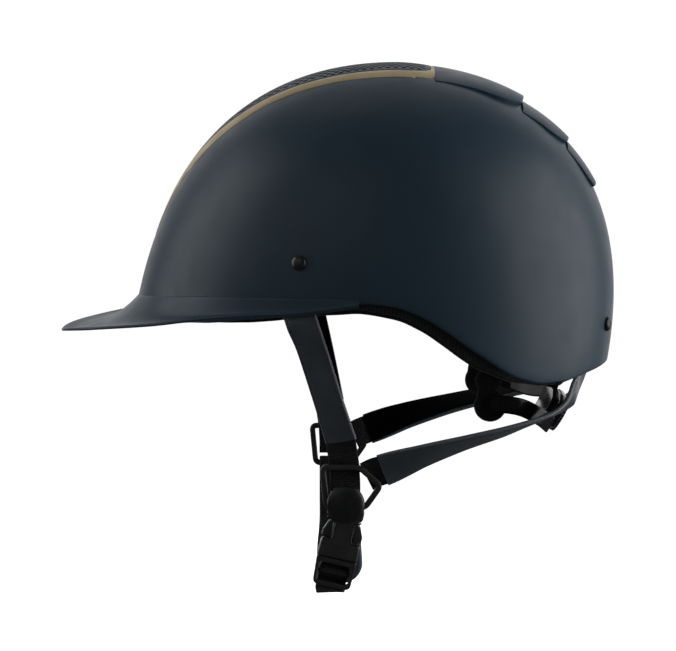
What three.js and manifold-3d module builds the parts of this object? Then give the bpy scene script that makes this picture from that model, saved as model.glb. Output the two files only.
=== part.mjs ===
// Equestrian riding helmet: shell with peak and vented crown, foam and fabric liners,
// a four-point chin harness with a side-release buckle, and a dial-tightened rear cradle.
// Millimetres. The helmet faces -X, the wearer's left side is -Y, and +Z is up.

import * as THREE from 'three';
import { mergeVertices } from 'three/addons/utils/BufferGeometryUtils.js';
import Module from 'manifold-3d';

const wasm = await Module();
wasm.setup();

// ---------------------------------------------------------------------------------------
// Driving dimensions. Heights are measured from the level of the brow edge.
// ---------------------------------------------------------------------------------------

const GAP = 0.35; // clearance between neighbouring pieces
const SEAT = 0.5; // height of the crown pieces' undersides above the shell
const SIDES = { left: -1, right: 1 };
const SEGMENTS = 40; // facets round the dome

// Crown point of the outer surface, and the profiles that leave it: cubic curves of
// (distance from the crown axis, height) down the middle of the front, the rear and a side.
const APEX_X = 11.6;
const APEX_Z = 138.1;
const FRONT_PROFILE = [[0, APEX_Z], [64.9, APEX_Z], [132.7, 106.1], [151.7, -12]];
const REAR_PROFILE = [[0, APEX_Z], [33.7, APEX_Z], [153.4, 112.5], [120.6, -44]];
const SIDE_PROFILE = [[0, APEX_Z], [80, APEX_Z], [118.5, 80], [99, -44]];

// Lower edge of the shell: height against X.
const LOWER_EDGE = [[-140, -4], [-70, 0], [-25, 7.6], [-7, 10.4], [8.5, 8.8], [22, 4.1], [36, -4.1],
  [50, -14.3], [62, -22.6], [71, -29], [79.5, -33.5], [94.3, -37.3], [104.5, -37.3], [118, -34.8],
  [140, -31]];

const SHELL_THICKNESS = 3;
const FOAM = { top: 19.3, side: 18, end: 26, edgeRaise: 4 };
const FABRIC_GAP = 2; // room for the hook-and-loop patches
const FABRIC = { thickness: 5.5, outerDepth: 12, height: 62 };
const FABRIC_HANG = [[-60, 1], [-35, 2], [-9.5, 4.6], [1.5, 5.6], [15, 6.3], [29, 7.4], [43, 8.4],
  [52, 8.2], [63, 5.8], [71, 4], [87, 1], [140, 0.8]]; // below the shell, against X
const CROWN_PAD = { halfLength: 62, halfWidth: 44, thickness: 6 };

// Peak: heights and reach against the angle from the front, in degrees.
const PEAK = {
  endAngle: 81,
  reach: 43,
  sideReach: 1.2,
  reachAngle: 31,
  seamHeight: [[0, 4.5], [25, 8], [43, 10.6], [57, 11.6], [69, 12.2], [77, 12.2], [81, 11.6]],
  edgeHeight: [[0, -14.3], [15, -10.3], [21, -8.4], [33, -4.5], [43, -0.3], [57, 3.8], [63, 4.7], [69, 6.4],
    [75, 8.6], [81, 11]],
  rootHeight: [[0, -4.5], [21, -5], [43, -3.6], [57, 0.4], [69, 3.2], [81, 8.4]],
  edgeThickness: 1.8,
};

// Crown panel: half-width against X, then a rear end with round corners.
const TRIM = {
  halfWidth: [
    [-127, 1.2], [-125, 3], [-121, 5.2], [-116, 7.4], [-110, 10], [-104, 14.5], [-98, 18.3],
    [-92, 20.6], [-87, 22.8], [-82, 24.8], [-76, 26.8], [-70, 28.8], [-62, 31], [-55, 32.6],
    [-46, 34.6], [-37, 36.4], [-26, 38.2], [-15, 39.7], [-5, 41], [5, 41.4], [20, 41.4],
    [41, 40.2],
  ],
  rearX: 41,
  corner: 20,
  lift: 1.1,
};
const GRILLE = {
  halfWidth: [
    [-108, 1], [-106, 4], [-101, 7.8], [-95, 10.6], [-92, 11.6], [-87, 14], [-82, 16.4],
    [-76, 18.6], [-70, 20.3], [-62, 22.4], [-55, 24.2], [-46, 26.4], [-37, 28.4], [-26, 30.2],
    [-15, 31.3], [-5, 31.9], [5, 32.2], [20, 32.2], [31, 31.6],
  ],
  rearX: 31,
  corner: 12,
  lift: 1.4,
};

// Rear scoops: start and trailing edge along X, half-width at each, height of the trailing edge.
const SCOOPS = [
  {
    name: 'scoop_upper', startX: 33, endX: 82.3, startWidth: 40.6, endWidth: 29.5,
    startLift: 1.2, endLift: 4.4, corner: 16,
  },
  {
    name: 'scoop_middle', startX: 82.8, endX: 108.2, startWidth: 29.2, endWidth: 24,
    startLift: 1.4, endLift: 3.4, corner: 13,
  },
  {
    name: 'scoop_lower', startX: 108.7, endX: 124.3, startWidth: 22, endWidth: 19.5,
    startLift: 1.2, endLift: 2.6, corner: 8,
  },
];

// Harness. Angles are round the crown axis, from the front towards the wearer's left.
const STRAP = { sleeveWidth: 18.6, sleeveThickness: 3.2, webbingWidth: 16.8, webbingThickness: 1.4 };
const RIVET = { capRadius: 4.15, capHeight: 2.2, shankRadius: 1.9, holeRadius: 2.4, washerRadius: 7 };
const ANCHORS = {
  front: { angle: 1.15, rivetHeight: 32 },
  rear: { angle: 2.83, rivetHeight: -8.5 },
};
const RING_PLANE = 68.5; // distance of the strap rings from the middle plane
const RIGHT_SHIFT = { x: -7, z: 3 }; // the right ring hangs a little further forward and higher
const RING = {
  outline: [[-32, -83.2], [-9, -83.2], [4.5, -95], [-5.5, -109.3, 2.5], [-29.5, -109.3, 2.5]],
  corner: 5,
  bar: 3.3,
  thickness: 3,
};
const CAP = { x: -17.3, z: -104.6, radius: 10.7, height: 3.6 };

// Buckle, in its own frame: origin on the parting line, local Z up along the strap.
const BUCKLE = { x: -22.1, z: -136, tilt: 0.222, halfWidth: 11.4, halfThickness: 4.8 };
const GUARD = { x: -19.5, z: -140.5, radius: 11.8, topX: -17, topZ: -121, topRadius: 8, thickness: 3 };

// Rear cradle. The dial faces backwards and down.
const DIAL = { x: 109.3, z: -64.2, lean: 0.505, radius: 12, thickness: 3.2, pinionRadius: 3.6 };
const HOUSING = { halfWidth: 27, halfHeight: 10.5, depth: 9.4 };
const WING = { x: 64, y: 55, z: -50.5 };

// The origin of the part is where the crown pad meets the wearer's head.
const ORIGIN = new THREE.Vector3(APEX_X, 0, 0);

// ---------------------------------------------------------------------------------------
// Colours and materials
// ---------------------------------------------------------------------------------------

const PAINT = {
  navy: { color: 0x2a3138, roughness: 0.55, metalness: 0.1 },
  grille: { color: 0x3a434b, roughness: 0.6, metalness: 0.1 },
  gold: { color: 0xa5946f, roughness: 0.4, metalness: 0.7 },
  foam: { color: 0x1b1b1c, roughness: 0.95, metalness: 0 },
  fabric: { color: 0x1d1e20, roughness: 0.95, metalness: 0 },
  leather: { color: 0x33383e, roughness: 0.5, metalness: 0 },
  webbing: { color: 0x141415, roughness: 0.9, metalness: 0 },
  plastic: { color: 0x101011, roughness: 0.45, metalness: 0 },
  gloss: { color: 0x0b0b0c, roughness: 0.15, metalness: 0 },
  steel: { color: 0x8a8c8e, roughness: 0.35, metalness: 0.9 },
};

const helmet = new THREE.Group();
helmet.name = 'riding_helmet';

/** Adds a named piece to the helmet, or to a group inside it. */
function addPiece(name, geometry, paint, parent = helmet) {
  const piece = new THREE.Mesh(geometry, new THREE.MeshStandardMaterial(PAINT[paint]));
  piece.name = name;
  parent.add(piece);
  return piece;
}

// ---------------------------------------------------------------------------------------
// Curves
// ---------------------------------------------------------------------------------------

const mix = (a, b, k) => a + (b - a) * k;
const degrees = (radians) => (radians * 180) / Math.PI;

/** Point of a cubic curve given by four (distance, height) pairs. */
function cubic(points, t) {
  const s = 1 - t;
  const weights = [s * s * s, 3 * s * s * t, 3 * s * t * t, t * t * t];
  return [0, 1].map((axis) => weights.reduce((sum, w, i) => sum + w * points[i][axis], 0));
}

/** Smooth value at x of a table of [x, value] rows, held level past its ends. */
function smoothTable(table, x) {
  const last = table.length - 1;
  if (x <= table[0][0]) return table[0][1];
  if (x >= table[last][0]) return table[last][1];
  const i = table.findIndex((row) => row[0] > x) - 1;
  const slope = (a, b) => (table[b][1] - table[a][1]) / (table[b][0] - table[a][0]);
  const tangent = (k) => {
    if (k === 0) return slope(0, 1);
    if (k === last) return slope(last - 1, last);
    const before = slope(k - 1, k);
    const after = slope(k, k + 1);
    return before * after <= 0 ? 0 : (2 * before * after) / (before + after);
  };
  const width = table[i + 1][0] - table[i][0];
  const s = (x - table[i][0]) / width;
  const h = s * s * (3 - 2 * s);
  const level = mix(table[i][1], table[i + 1][1], h);
  return level + width * s * (1 - s) * ((1 - s) * tangent(i) - s * tangent(i + 1));
}

/** Root of a falling function between low and high. */
function solveFalling(low, high, value) {
  let a = low;
  let b = high;
  for (let step = 0; step < 40; step += 1) {
    const middle = (a + b) / 2;
    if (value(middle) > 0) a = middle;
    else b = middle;
  }
  return (a + b) / 2;
}

// ---------------------------------------------------------------------------------------
// The dome: angle 0 is the front, a quarter turn is the wearer's left, and t runs down
// from 0 at the crown. Depth is measured inwards from the outer surface.
// ---------------------------------------------------------------------------------------

function domeSurface(angle, t) {
  const c = Math.cos(angle);
  const s = Math.sin(angle);
  const [reach, endHeight] = cubic(c > 0 ? FRONT_PROFILE : REAR_PROFILE, t);
  const [halfWidth, sideHeight] = cubic(SIDE_PROFILE, t);
  return new THREE.Vector3(APEX_X - reach * c, -halfWidth * s, endHeight * c * c + sideHeight * s * s);
}

function domeNormal(angle, t) {
  const step = 0.002;
  const from = Math.max(t, 0.02);
  const along = domeSurface(angle, from + step).sub(domeSurface(angle, from - step));
  const around = domeSurface(angle + step, from).sub(domeSurface(angle - step, from));
  const normal = along.cross(around).normalize();
  return normal.lerp(new THREE.Vector3(0, 0, 1), Math.max(0, 1 - t / 0.06)).normalize();
}

function domeLayer(angle, t, depth) {
  return domeSurface(angle, t).addScaledVector(domeNormal(angle, t), -depth);
}

/** t at which a layer of the dome reaches the shell's lower edge, raised by a height. */
function edgeT(angle, depthAt, raise) {
  return solveFalling(0.2, 1.1, (t) => {
    const point = domeLayer(angle, t, depthAt(angle, t));
    return point.z - smoothTable(LOWER_EDGE, point.x) - raise;
  });
}

/** Point of the wall at an angle and a height, at a depth inside the outer surface. */
function wallPoint(angle, height, depth) {
  const t = solveFalling(0.1, 1.15, (value) => domeLayer(angle, value, depth).z - height);
  return domeLayer(angle, t, depth);
}

function wallNormal(angle, height) {
  const t = solveFalling(0.1, 1.15, (value) => domeSurface(angle, value).z - height);
  return domeNormal(angle, t);
}

/** Point of the crown above (x, y), lifted off the outer surface. */
function crownPoint(x, y, lift) {
  const profile = x < APEX_X ? FRONT_PROFILE : REAR_PROFILE;
  const t = solveFalling(0.0005, 0.95, (value) => {
    const a = (x - APEX_X) / cubic(profile, value)[0];
    const b = y / cubic(SIDE_PROFILE, value)[0];
    return a * a + b * b - 1;
  });
  const cosine = (APEX_X - x) / cubic(profile, t)[0];
  const sine = -y / cubic(SIDE_PROFILE, t)[0];
  return domeLayer(Math.atan2(sine, cosine), t, -lift);
}

const foamDepth = (angle, t) => {
  const wall = mix(FOAM.side, FOAM.end, Math.cos(angle) ** 2);
  return SHELL_THICKNESS + GAP + mix(FOAM.top, wall, Math.min(1, t * 1.5));
};
const fabricDepth = (angle, t) => foamDepth(angle, t) + FABRIC_GAP;

// ---------------------------------------------------------------------------------------
// Solids
// ---------------------------------------------------------------------------------------

/** Indexed geometry turned so that its faces point outwards. */
function closedGeometry(points, triangles) {
  const volume = triangles.reduce((sum, [a, b, c]) => {
    return sum + points[a].dot(new THREE.Vector3().crossVectors(points[b], points[c]));
  }, 0);
  const faces = volume < 0 ? triangles.map(([a, b, c]) => [a, c, b]) : triangles;
  const geometry = new THREE.BufferGeometry();
  const flat = points.flatMap((p) => [p.x, p.y, p.z]);
  geometry.setAttribute('position', new THREE.Float32BufferAttribute(flat, 3));
  geometry.setIndex(faces.flat());
  return geometry;
}

/**
 * Solid through a list of rings with equal counts of points. A ring of one point is a pole.
 * An open end is capped by a strip that joins the first half of its ring to the second half.
 */
function loft(rings, joinEnds = false) {
  const points = rings.flat();
  const starts = [];
  rings.reduce((sum, ring) => {
    starts.push(sum);
    return sum + ring.length;
  }, 0);
  const triangles = [];
  const pairs = joinEnds ? rings.length : rings.length - 1;
  for (let k = 0; k < pairs; k += 1) {
    const next = (k + 1) % rings.length;
    const count = Math.max(rings[k].length, rings[next].length);
    for (let i = 0; i < count; i += 1) {
      const j = (i + 1) % count;
      const a = starts[k] + (rings[k].length > 1 ? i : 0);
      const b = starts[k] + (rings[k].length > 1 ? j : 0);
      const c = starts[next] + (rings[next].length > 1 ? j : 0);
      const d = starts[next] + (rings[next].length > 1 ? i : 0);
      if (c !== d) triangles.push([a, c, d]);
      if (a !== b) triangles.push([a, b, c]);
    }
  }
  if (!joinEnds) {
    capStrip(triangles, starts[0], rings[0].length, true);
    capStrip(triangles, starts[rings.length - 1], rings[rings.length - 1].length, false);
  }
  return closedGeometry(points, triangles);
}

function capStrip(triangles, start, count, atStart) {
  for (let i = 0; i < count / 2 - 1; i += 1) {
    const corners = [start + i, start + i + 1, start + count - 2 - i, start + count - 1 - i];
    const [a, b, c, d] = atStart ? corners.toReversed() : corners;
    triangles.push([a, b, c], [a, c, d]);
  }
}

function toManifold(geometry) {
  const bare = geometry.clone();
  bare.deleteAttribute('normal');
  bare.deleteAttribute('uv');
  const merged = mergeVertices(bare, 1e-4);
  const vertProperties = new Float32Array(merged.attributes.position.array);
  const triVerts = new Uint32Array(merged.index.array);
  return new wasm.Manifold(new wasm.Mesh({ numProp: 3, vertProperties, triVerts }));
}

function fromManifold(solid) {
  const mesh = solid.getMesh();
  const geometry = new THREE.BufferGeometry();
  geometry.setAttribute('position', new THREE.Float32BufferAttribute(mesh.vertProperties, 3));
  geometry.setIndex(Array.from(mesh.triVerts));
  return geometry;
}

/** The base solid with the tools cut away. */
function cut(base, ...tools) {
  return fromManifold(tools.reduce((solid, tool) => solid.subtract(toManifold(tool)), toManifold(base)));
}

function join(...parts) {
  const [first, ...others] = parts;
  return fromManifold(others.reduce((solid, part) => solid.add(toManifold(part)), toManifold(first)));
}

/** Box between two corners. */
function box(low, high) {
  const size = low.map((value, i) => high[i] - value);
  const geometry = new THREE.BoxGeometry(...size);
  return geometry.translate(...low.map((value, i) => (value + high[i]) / 2));
}

/** Outline in X and Z with round corners; a corner may carry its own radius. */
function roundedOutline(corners, radius) {
  const anticlockwise = THREE.ShapeUtils.area(corners.map(([x, y]) => ({ x, y }))) > 0;
  const ordered = anticlockwise ? corners : corners.toReversed();
  const shape = new THREE.Shape();
  ordered.forEach(([x, y, ownRadius = radius], i) => {
    const here = new THREE.Vector2(x, y);
    const before = new THREE.Vector2(...ordered.at(i - 1));
    const after = new THREE.Vector2(...ordered[(i + 1) % ordered.length]);
    const from = before.sub(here).setLength(ownRadius).add(here);
    const to = after.sub(here).setLength(ownRadius).add(here);
    if (i === 0) shape.moveTo(from.x, from.y);
    else shape.lineTo(from.x, from.y);
    shape.quadraticCurveTo(here.x, here.y, to.x, to.y);
  });
  shape.closePath();
  return shape;
}

/** Plate with an outline in X and Z, between two values of Y. */
function plate(shape, yLow, yHigh, curveSegments = 4) {
  const depth = yHigh - yLow;
  const geometry = new THREE.ExtrudeGeometry(shape, { depth, bevelEnabled: false, curveSegments });
  return geometry.rotateX(Math.PI / 2).translate(0, yHigh, 0);
}

/** Ring of points at equal angles round the dome. */
function ringPoints(count, pointAt) {
  return Array.from({ length: count }, (_, i) => pointAt((i / count) * 2 * Math.PI));
}

/** Closed cap of the dome between two depths, from the crown to the edge. */
function domeSolid(outerDepth, innerDepth, raise, ringCount) {
  const surface = (depthAt) => {
    const rings = [[domeLayer(0, 0, depthAt(0, 0))]];
    for (let k = 1; k <= ringCount; k += 1) {
      rings.push(ringPoints(SEGMENTS, (angle) => {
        const t = (edgeT(angle, depthAt, raise) * k) / ringCount;
        return domeLayer(angle, t, depthAt(angle, t));
      }));
    }
    return rings;
  };
  return loft([...surface(outerDepth), ...surface(innerDepth).toReversed()]);
}

// ---------------------------------------------------------------------------------------
// Straps: a flat section carried along a smooth path, its face turned to a given normal.
// ---------------------------------------------------------------------------------------

/** Frames along a path; each stop is [position, face normal]. */
function strapFrames(stops, steps) {
  const path = new THREE.CatmullRomCurve3(stops.map(([position]) => position), false, 'centripetal');
  const normals = new THREE.CatmullRomCurve3(stops.map(([, normal]) => normal), false, 'centripetal');
  return Array.from({ length: steps + 1 }, (_, i) => {
    const u = i / steps;
    const along = path.getTangent(u);
    const across = new THREE.Vector3().crossVectors(normals.getPoint(u), along).normalize();
    const out = new THREE.Vector3().crossVectors(along, across).normalize();
    return { centre: path.getPoint(u), across, out };
  });
}

function strapSection({ centre, across, out }, width, thickness) {
  return [[-1, -1], [1, -1], [1, 1], [-1, 1]].map(([a, b]) => {
    return centre.clone().addScaledVector(across, (a * width) / 2).addScaledVector(out, (b * thickness) / 2);
  });
}

function ribbon(stops, width, thickness, steps) {
  return loft(strapFrames(stops, steps).map((frame) => strapSection(frame, width, thickness)));
}

const vector = (x, y, z) => new THREE.Vector3(x, y, z);

// ---------------------------------------------------------------------------------------
// Shell and crown
// ---------------------------------------------------------------------------------------

/** Upright slot with round ends, for the vents. */
function ventSlot(fromX, toX, halfWidth, fromZ, toZ) {
  const shape = new THREE.Shape();
  shape.absarc(toX - halfWidth, 0, halfWidth, -Math.PI / 2, Math.PI / 2);
  shape.absarc(fromX + halfWidth, 0, halfWidth, Math.PI / 2, (3 * Math.PI) / 2);
  const depth = toZ - fromZ;
  const geometry = new THREE.ExtrudeGeometry(shape, { depth, bevelEnabled: false, curveSegments: 5 });
  return geometry.translate(0, 0, fromZ);
}

const VENTS = [[-92, -60], [-50, -18], [-8, 24]];
const VENT_HALF_WIDTH = 9;

/** Cylinder along the wall's normal, from one depth to another. */
function wallCylinder(angle, height, radius, fromDepth, toDepth, segments = 12) {
  const normal = wallNormal(angle, height);
  const base = wallPoint(angle, height, 0);
  const geometry = new THREE.CylinderGeometry(radius, radius, toDepth - fromDepth, segments);
  const turn = new THREE.Quaternion().setFromUnitVectors(vector(0, 1, 0), normal);
  const middle = base.addScaledVector(normal, -(fromDepth + toDepth) / 2);
  return geometry.applyQuaternion(turn).translate(middle.x, middle.y, middle.z);
}

const anchorAngle = (side, end) => -SIDES[side] * ANCHORS[end].angle;

function forEachAnchor(action) {
  for (const side of Object.keys(SIDES)) {
    for (const end of Object.keys(ANCHORS)) {
      action(side, end, anchorAngle(side, end), ANCHORS[end].rivetHeight);
    }
  }
}

function outerShell() {
  const shell = domeSolid(() => 0, () => SHELL_THICKNESS, 0, 12);
  const vents = VENTS.map(([fromX, toX]) => ventSlot(fromX, toX, VENT_HALF_WIDTH, 60, 160));
  const holes = [];
  forEachAnchor((side, end, angle, height) => {
    holes.push(wallCylinder(angle, height, RIVET.holeRadius, -2, SHELL_THICKNESS + 2));
  });
  return cut(shell, ...vents, ...holes);
}

function peak() {
  const columns = 7;
  const steps = 30;
  const end = THREE.MathUtils.degToRad(PEAK.endAngle);
  const rings = [];
  for (let k = 0; k <= steps; k += 1) {
    const angle = mix(-end, end, k / steps);
    const turn = Math.abs(degrees(angle));
    const root = wallPoint(angle, smoothTable(PEAK.seamHeight, turn), -SEAT);
    const under = wallPoint(angle, smoothTable(PEAK.rootHeight, turn), -SEAT);
    const outward = vector(root.x - APEX_X, root.y, 0).normalize();
    const reach = PEAK.sideReach + PEAK.reach * Math.exp(-((turn / PEAK.reachAngle) ** 2));
    const edge = root.clone().addScaledVector(outward, reach);
    edge.z = smoothTable(PEAK.edgeHeight, turn);
    const top = [];
    const bottom = [];
    for (let i = 0; i < columns; i += 1) {
      const s = i / (columns - 1);
      const fall = 1 - (1 - s) ** 2.6;
      const upper = root.clone().lerp(edge, s);
      upper.z = mix(root.z, edge.z, fall);
      const lower = under.clone().lerp(edge, s);
      lower.z = mix(under.z, edge.z - PEAK.edgeThickness, s);
      top.push(upper);
      bottom.push(lower);
    }
    rings.push([...top, ...bottom.toReversed()]);
  }
  return loft(rings);
}

/** Half-width of an outline whose rear end has round corners. */
function outlineHalfWidth({ halfWidth, rearX, corner }, x) {
  const width = smoothTable(halfWidth, x);
  const past = Math.max(0, x - (rearX - corner));
  return width - corner + Math.sqrt(Math.max(0, corner * corner - past * past));
}

/** Solid that lies on the crown, from a bottom height up to the height given by liftAt. */
function crownPatch(stations, halfWidthAt, bottomLift, liftAt, columns = 8) {
  const rings = stations.map((x) => {
    const row = (liftOf) => Array.from({ length: columns + 1 }, (_, i) => {
      const across = (2 * i) / columns - 1;
      return crownPoint(x, across * halfWidthAt(x), liftOf(x, across));
    });
    return [...row(liftAt), ...row(() => bottomLift).toReversed()];
  });
  return loft(rings);
}

/** Values from low to high, packed closer towards both ends. */
function stationsTo(low, high, count) {
  const share = (i) => (1 - Math.cos((i / count) * Math.PI)) / 2;
  return Array.from({ length: count + 1 }, (_, i) => mix(low, high, share(i)));
}

/** Patch over a crown outline, grown sideways and backwards by a margin. */
function outlinePatch(outline, margin, bottomLift, topLift) {
  const frontX = outline.halfWidth[0][0] - margin;
  const stations = stationsTo(frontX, outline.rearX + margin, 20);
  const widthAt = (x) => outlineHalfWidth(outline, x < 0 ? x + margin : x - margin) + margin;
  return crownPatch(stations, widthAt, bottomLift, () => topLift);
}

function grilleTrim() {
  return cut(outlinePatch(TRIM, 0, SEAT, TRIM.lift), outlinePatch(GRILLE, 2 * GAP, -2, 6));
}

function scoop({ startX, endX, startWidth, endWidth, startLift, endLift, corner }) {
  const outline = { halfWidth: [[startX, startWidth], [endX, endWidth]], rearX: endX, corner };
  const liftAt = (x, across) => {
    const k = (x - startX) / (endX - startX);
    const shoulder = mix(0.3, 0.62, k);
    return mix(startLift, endLift, k) * (1 - (1 - shoulder) * Math.abs(across) ** 5);
  };
  return crownPatch(stationsTo(startX, endX, 9), (x) => outlineHalfWidth(outline, x), SEAT, liftAt);
}

function addCrown() {
  addPiece('outer_shell', outerShell(), 'navy');
  addPiece('peak', peak(), 'navy');
  addPiece('vent_grille', outlinePatch(GRILLE, 0, SEAT, GRILLE.lift), 'grille');
  addPiece('grille_trim', grilleTrim(), 'gold');
  for (const size of SCOOPS) {
    const body = scoop(size);
    const trimmed = size.startX < TRIM.rearX ? cut(body, outlinePatch(TRIM, GAP, -2, 6)) : body;
    addPiece(size.name, trimmed, 'navy');
  }
}

// ---------------------------------------------------------------------------------------
// Liners
// ---------------------------------------------------------------------------------------

// The flat straps stand off the curved wall so that their edges clear it.
const strapDepth = SHELL_THICKNESS + GAP + STRAP.sleeveThickness / 2 + 0.9;

function impactLiner() {
  const foam = domeSolid(() => SHELL_THICKNESS + 2 * GAP, foamDepth, FOAM.edgeRaise, 11);
  const airway = ventSlot(-96, 96, 11, 112, 160);
  const ports = VENTS.map(([fromX, toX]) => ventSlot(fromX, toX, VENT_HALF_WIDTH, 60, 160));
  const channels = [];
  forEachAnchor((side, end, angle, height) => {
    const route = strapStops(side, end).slice(0, WALL_STOPS[end].length + 1);
    channels.push(ribbon(route, STRAP.sleeveWidth + 3, STRAP.sleeveThickness + 5, 6));
    channels.push(wallCylinder(angle, height, RIVET.washerRadius + 1.5, 2, strapDepth + 4));
  });
  return cut(foam, airway, ...ports, ...channels);
}

/** Headband of padded fabric that turns outwards under the edge of the foam. */
function comfortLiner() {
  const innerDepth = (angle, t) => fabricDepth(angle, t) + FABRIC.thickness;
  const layer = (depthAt, raise) => ringPoints(SEGMENTS, (angle) => {
    const t = edgeT(angle, depthAt, raise);
    return domeLayer(angle, t, depthAt(angle, t));
  });
  const lowered = (points, lift) => points.map(
    (p) => vector(p.x, p.y, p.z - smoothTable(FABRIC_HANG, p.x) + lift),
  );
  const under = FOAM.edgeRaise - 3;
  const skirt = () => FABRIC.outerDepth;
  return loft([
    layer(fabricDepth, FABRIC.height),
    layer(fabricDepth, 25),
    layer(fabricDepth, under),
    layer(skirt, under),
    lowered(layer(skirt, 0), 0),
    lowered(layer(() => FABRIC.outerDepth + 5, 0), 0),
    lowered(layer(innerDepth, 0), 2),
    layer(innerDepth, 12),
    layer(innerDepth, FABRIC.height - 3),
  ], true);
}

/** Cord of fabric sewn along the lower edge of the comfort liner. */
function linerPiping() {
  const radius = 1.1;
  const corners = 6;
  const rings = Array.from({ length: corners }, (_, k) => {
    const turn = (k / corners) * 2 * Math.PI;
    const depth = FABRIC.outerDepth + 1.2 + radius * Math.cos(turn);
    const drop = radius + GAP + radius * Math.sin(turn);
    return ringPoints(SEGMENTS, (angle) => {
      const point = domeLayer(angle, edgeT(angle, () => depth, 0), depth);
      point.z -= drop + smoothTable(FABRIC_HANG, point.x);
      return point;
    });
  });
  return loft(rings, true);
}

/** Pad under the crown, with a small flat middle where it meets the head. */
function crownPad() {
  const rings = 6;
  const segments = 28;
  const top = fabricDepth(0, 0);
  const flatHeight = APEX_Z - top - CROWN_PAD.thickness - 1.5;
  const point = (share, angle, depth) => {
    const x = APEX_X - share * CROWN_PAD.halfLength * Math.cos(angle);
    const y = -share * CROWN_PAD.halfWidth * Math.sin(angle);
    return crownPoint(x, y, -depth);
  };
  const upper = [[domeLayer(0, 0, top)]];
  const lower = [[vector(APEX_X, 0, flatHeight)]];
  for (let k = 1; k <= rings; k += 1) {
    const share = k / rings;
    upper.push(ringPoints(segments, (angle) => point(share, angle, top + 3 * share)));
    lower.push(ringPoints(segments, (angle) => {
      const p = point(share, angle, top + mix(CROWN_PAD.thickness, 5, share));
      p.z = Math.min(p.z, flatHeight);
      return p;
    }));
  }
  return { geometry: loft([...upper, ...lower.toReversed()]), flatHeight };
}

/** Thin patch of hook-and-loop tape between the foam and the comfort liner. */
function hookPatch(angle, height) {
  const halfAngle = 0.12;
  const steps = 4;
  const rings = [];
  for (let k = 0; k <= steps; k += 1) {
    const a = angle + mix(-halfAngle, halfAngle, k / steps);
    const corner = (z, extra) => {
      const t = solveFalling(0.1, 1.15, (value) => domeLayer(a, value, foamDepth(a, value)).z - z);
      return domeLayer(a, t, foamDepth(a, t) + extra);
    };
    const near = 0.8;
    const far = 1.5;
    const [top, bottom] = [height + 9, height - 9];
    rings.push([corner(top, near), corner(bottom, near), corner(bottom, far), corner(top, far)]);
  }
  return loft(rings);
}

function addLiners() {
  addPiece('impact_liner', impactLiner(), 'foam');
  addPiece('comfort_liner', comfortLiner(), 'fabric');
  addPiece('liner_piping', linerPiping(), 'fabric');
  const pad = crownPad();
  addPiece('crown_pad', pad.geometry, 'fabric');
  ORIGIN.z = pad.flatHeight;
  const patches = { front: [0, 34], left: [Math.PI / 2, 36], rear: [Math.PI, 14], right: [-Math.PI / 2, 36] };
  for (const [place, [angle, height]] of Object.entries(patches)) {
    addPiece(`hook_patch_${place}`, hookPatch(angle, height), 'webbing');
  }
}

// ---------------------------------------------------------------------------------------
// Harness
// ---------------------------------------------------------------------------------------

/** Domed rivet with a shank that reaches through the shell. */
function strapRivet(angle, height) {
  const reach = SHELL_THICKNESS;
  const profile = [
    [0, -reach], [RIVET.shankRadius, -reach], [RIVET.shankRadius, GAP], [RIVET.capRadius, GAP],
  ];
  for (let k = 1; k <= 4; k += 1) {
    const turn = (k / 4) * (Math.PI / 2);
    profile.push([RIVET.capRadius * Math.cos(turn), GAP + RIVET.capHeight * Math.sin(turn)]);
  }
  profile.at(-1)[0] = 0;
  const geometry = new THREE.LatheGeometry(profile.map((p) => new THREE.Vector2(...p)), 14);
  const turn = new THREE.Quaternion().setFromUnitVectors(vector(0, 1, 0), wallNormal(angle, height));
  const base = wallPoint(angle, height, 0);
  return geometry.applyQuaternion(turn).translate(base.x, base.y, base.z);
}

/** Where each strap runs on the wall, from above its rivet to the shell's edge, as
    [angle, height, extra depth]. */
const WALL_STOPS = {
  front: [[1.15, 40, 0.3], [1.15, 24, 0.3], [1.155, 7, 0.9]],
  rear: [[2.835, -1, 0.3], [2.82, -12, 0.7], [2.79, -24, 2], [2.76, -36, 4.4]],
};
/** Where each strap runs from there to the strap ring, for the wearer's left. */
const STRAP_ROUTES = {
  front: [[-41, -90.5, -2], [-35.8, -83.6, -17], [-27.4, -74.6, -45], [-19.8, -68.2, -70]],
  rear: [
    [111, -48.3, -46], [104.5, -55, -52.6], [96, -60.5, -56.8], [87.4, -64.6, -59.8],
    [72.7, -69.4, -64.2], [48.5, -71, -70.9], [24, -70.5, -78.7], [3.5, -67, -86.8],
  ],
};
const STRAP_FACES = {
  front: [[-0.25, -1, -0.2], [-0.42, -1, -0.35], [-0.45, -1, -0.38], [-0.3, -1, -0.3]],
  rear: [
    [0.84, -0.42, -0.3], [0.6, -0.28, -0.75], [0.4, -0.16, -0.9], [0.33, -0.2, -0.92],
    [0.3, -0.33, -0.9], [0.27, -0.5, -0.82], [0.15, -0.75, -0.6], [-0.12, -1, -0.1],
  ],
};
const WEBBING_ROUTES = {
  front: [[-19, -66.2, -77], [-18, -65.4, -84], [-17.6, -65.9, -90], [-17.4, -68.1, -95],
    [-17.4, -68.4, -101.5]],
  rear: [[-1, -65.6, -88.4], [-5.6, -65.4, -90.7]],
};

/** Turns a place on the wearer's left into the same place on the given side. */
function sidePlace([x, y, z], side, share = 1) {
  if (side === 'left') return vector(x, y, z);
  return vector(x + RIGHT_SHIFT.x * share, -y, z + RIGHT_SHIFT.z * share);
}

const sideNormal = ([x, y, z], side) => vector(x, side === 'left' ? y : -y, z);

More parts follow.
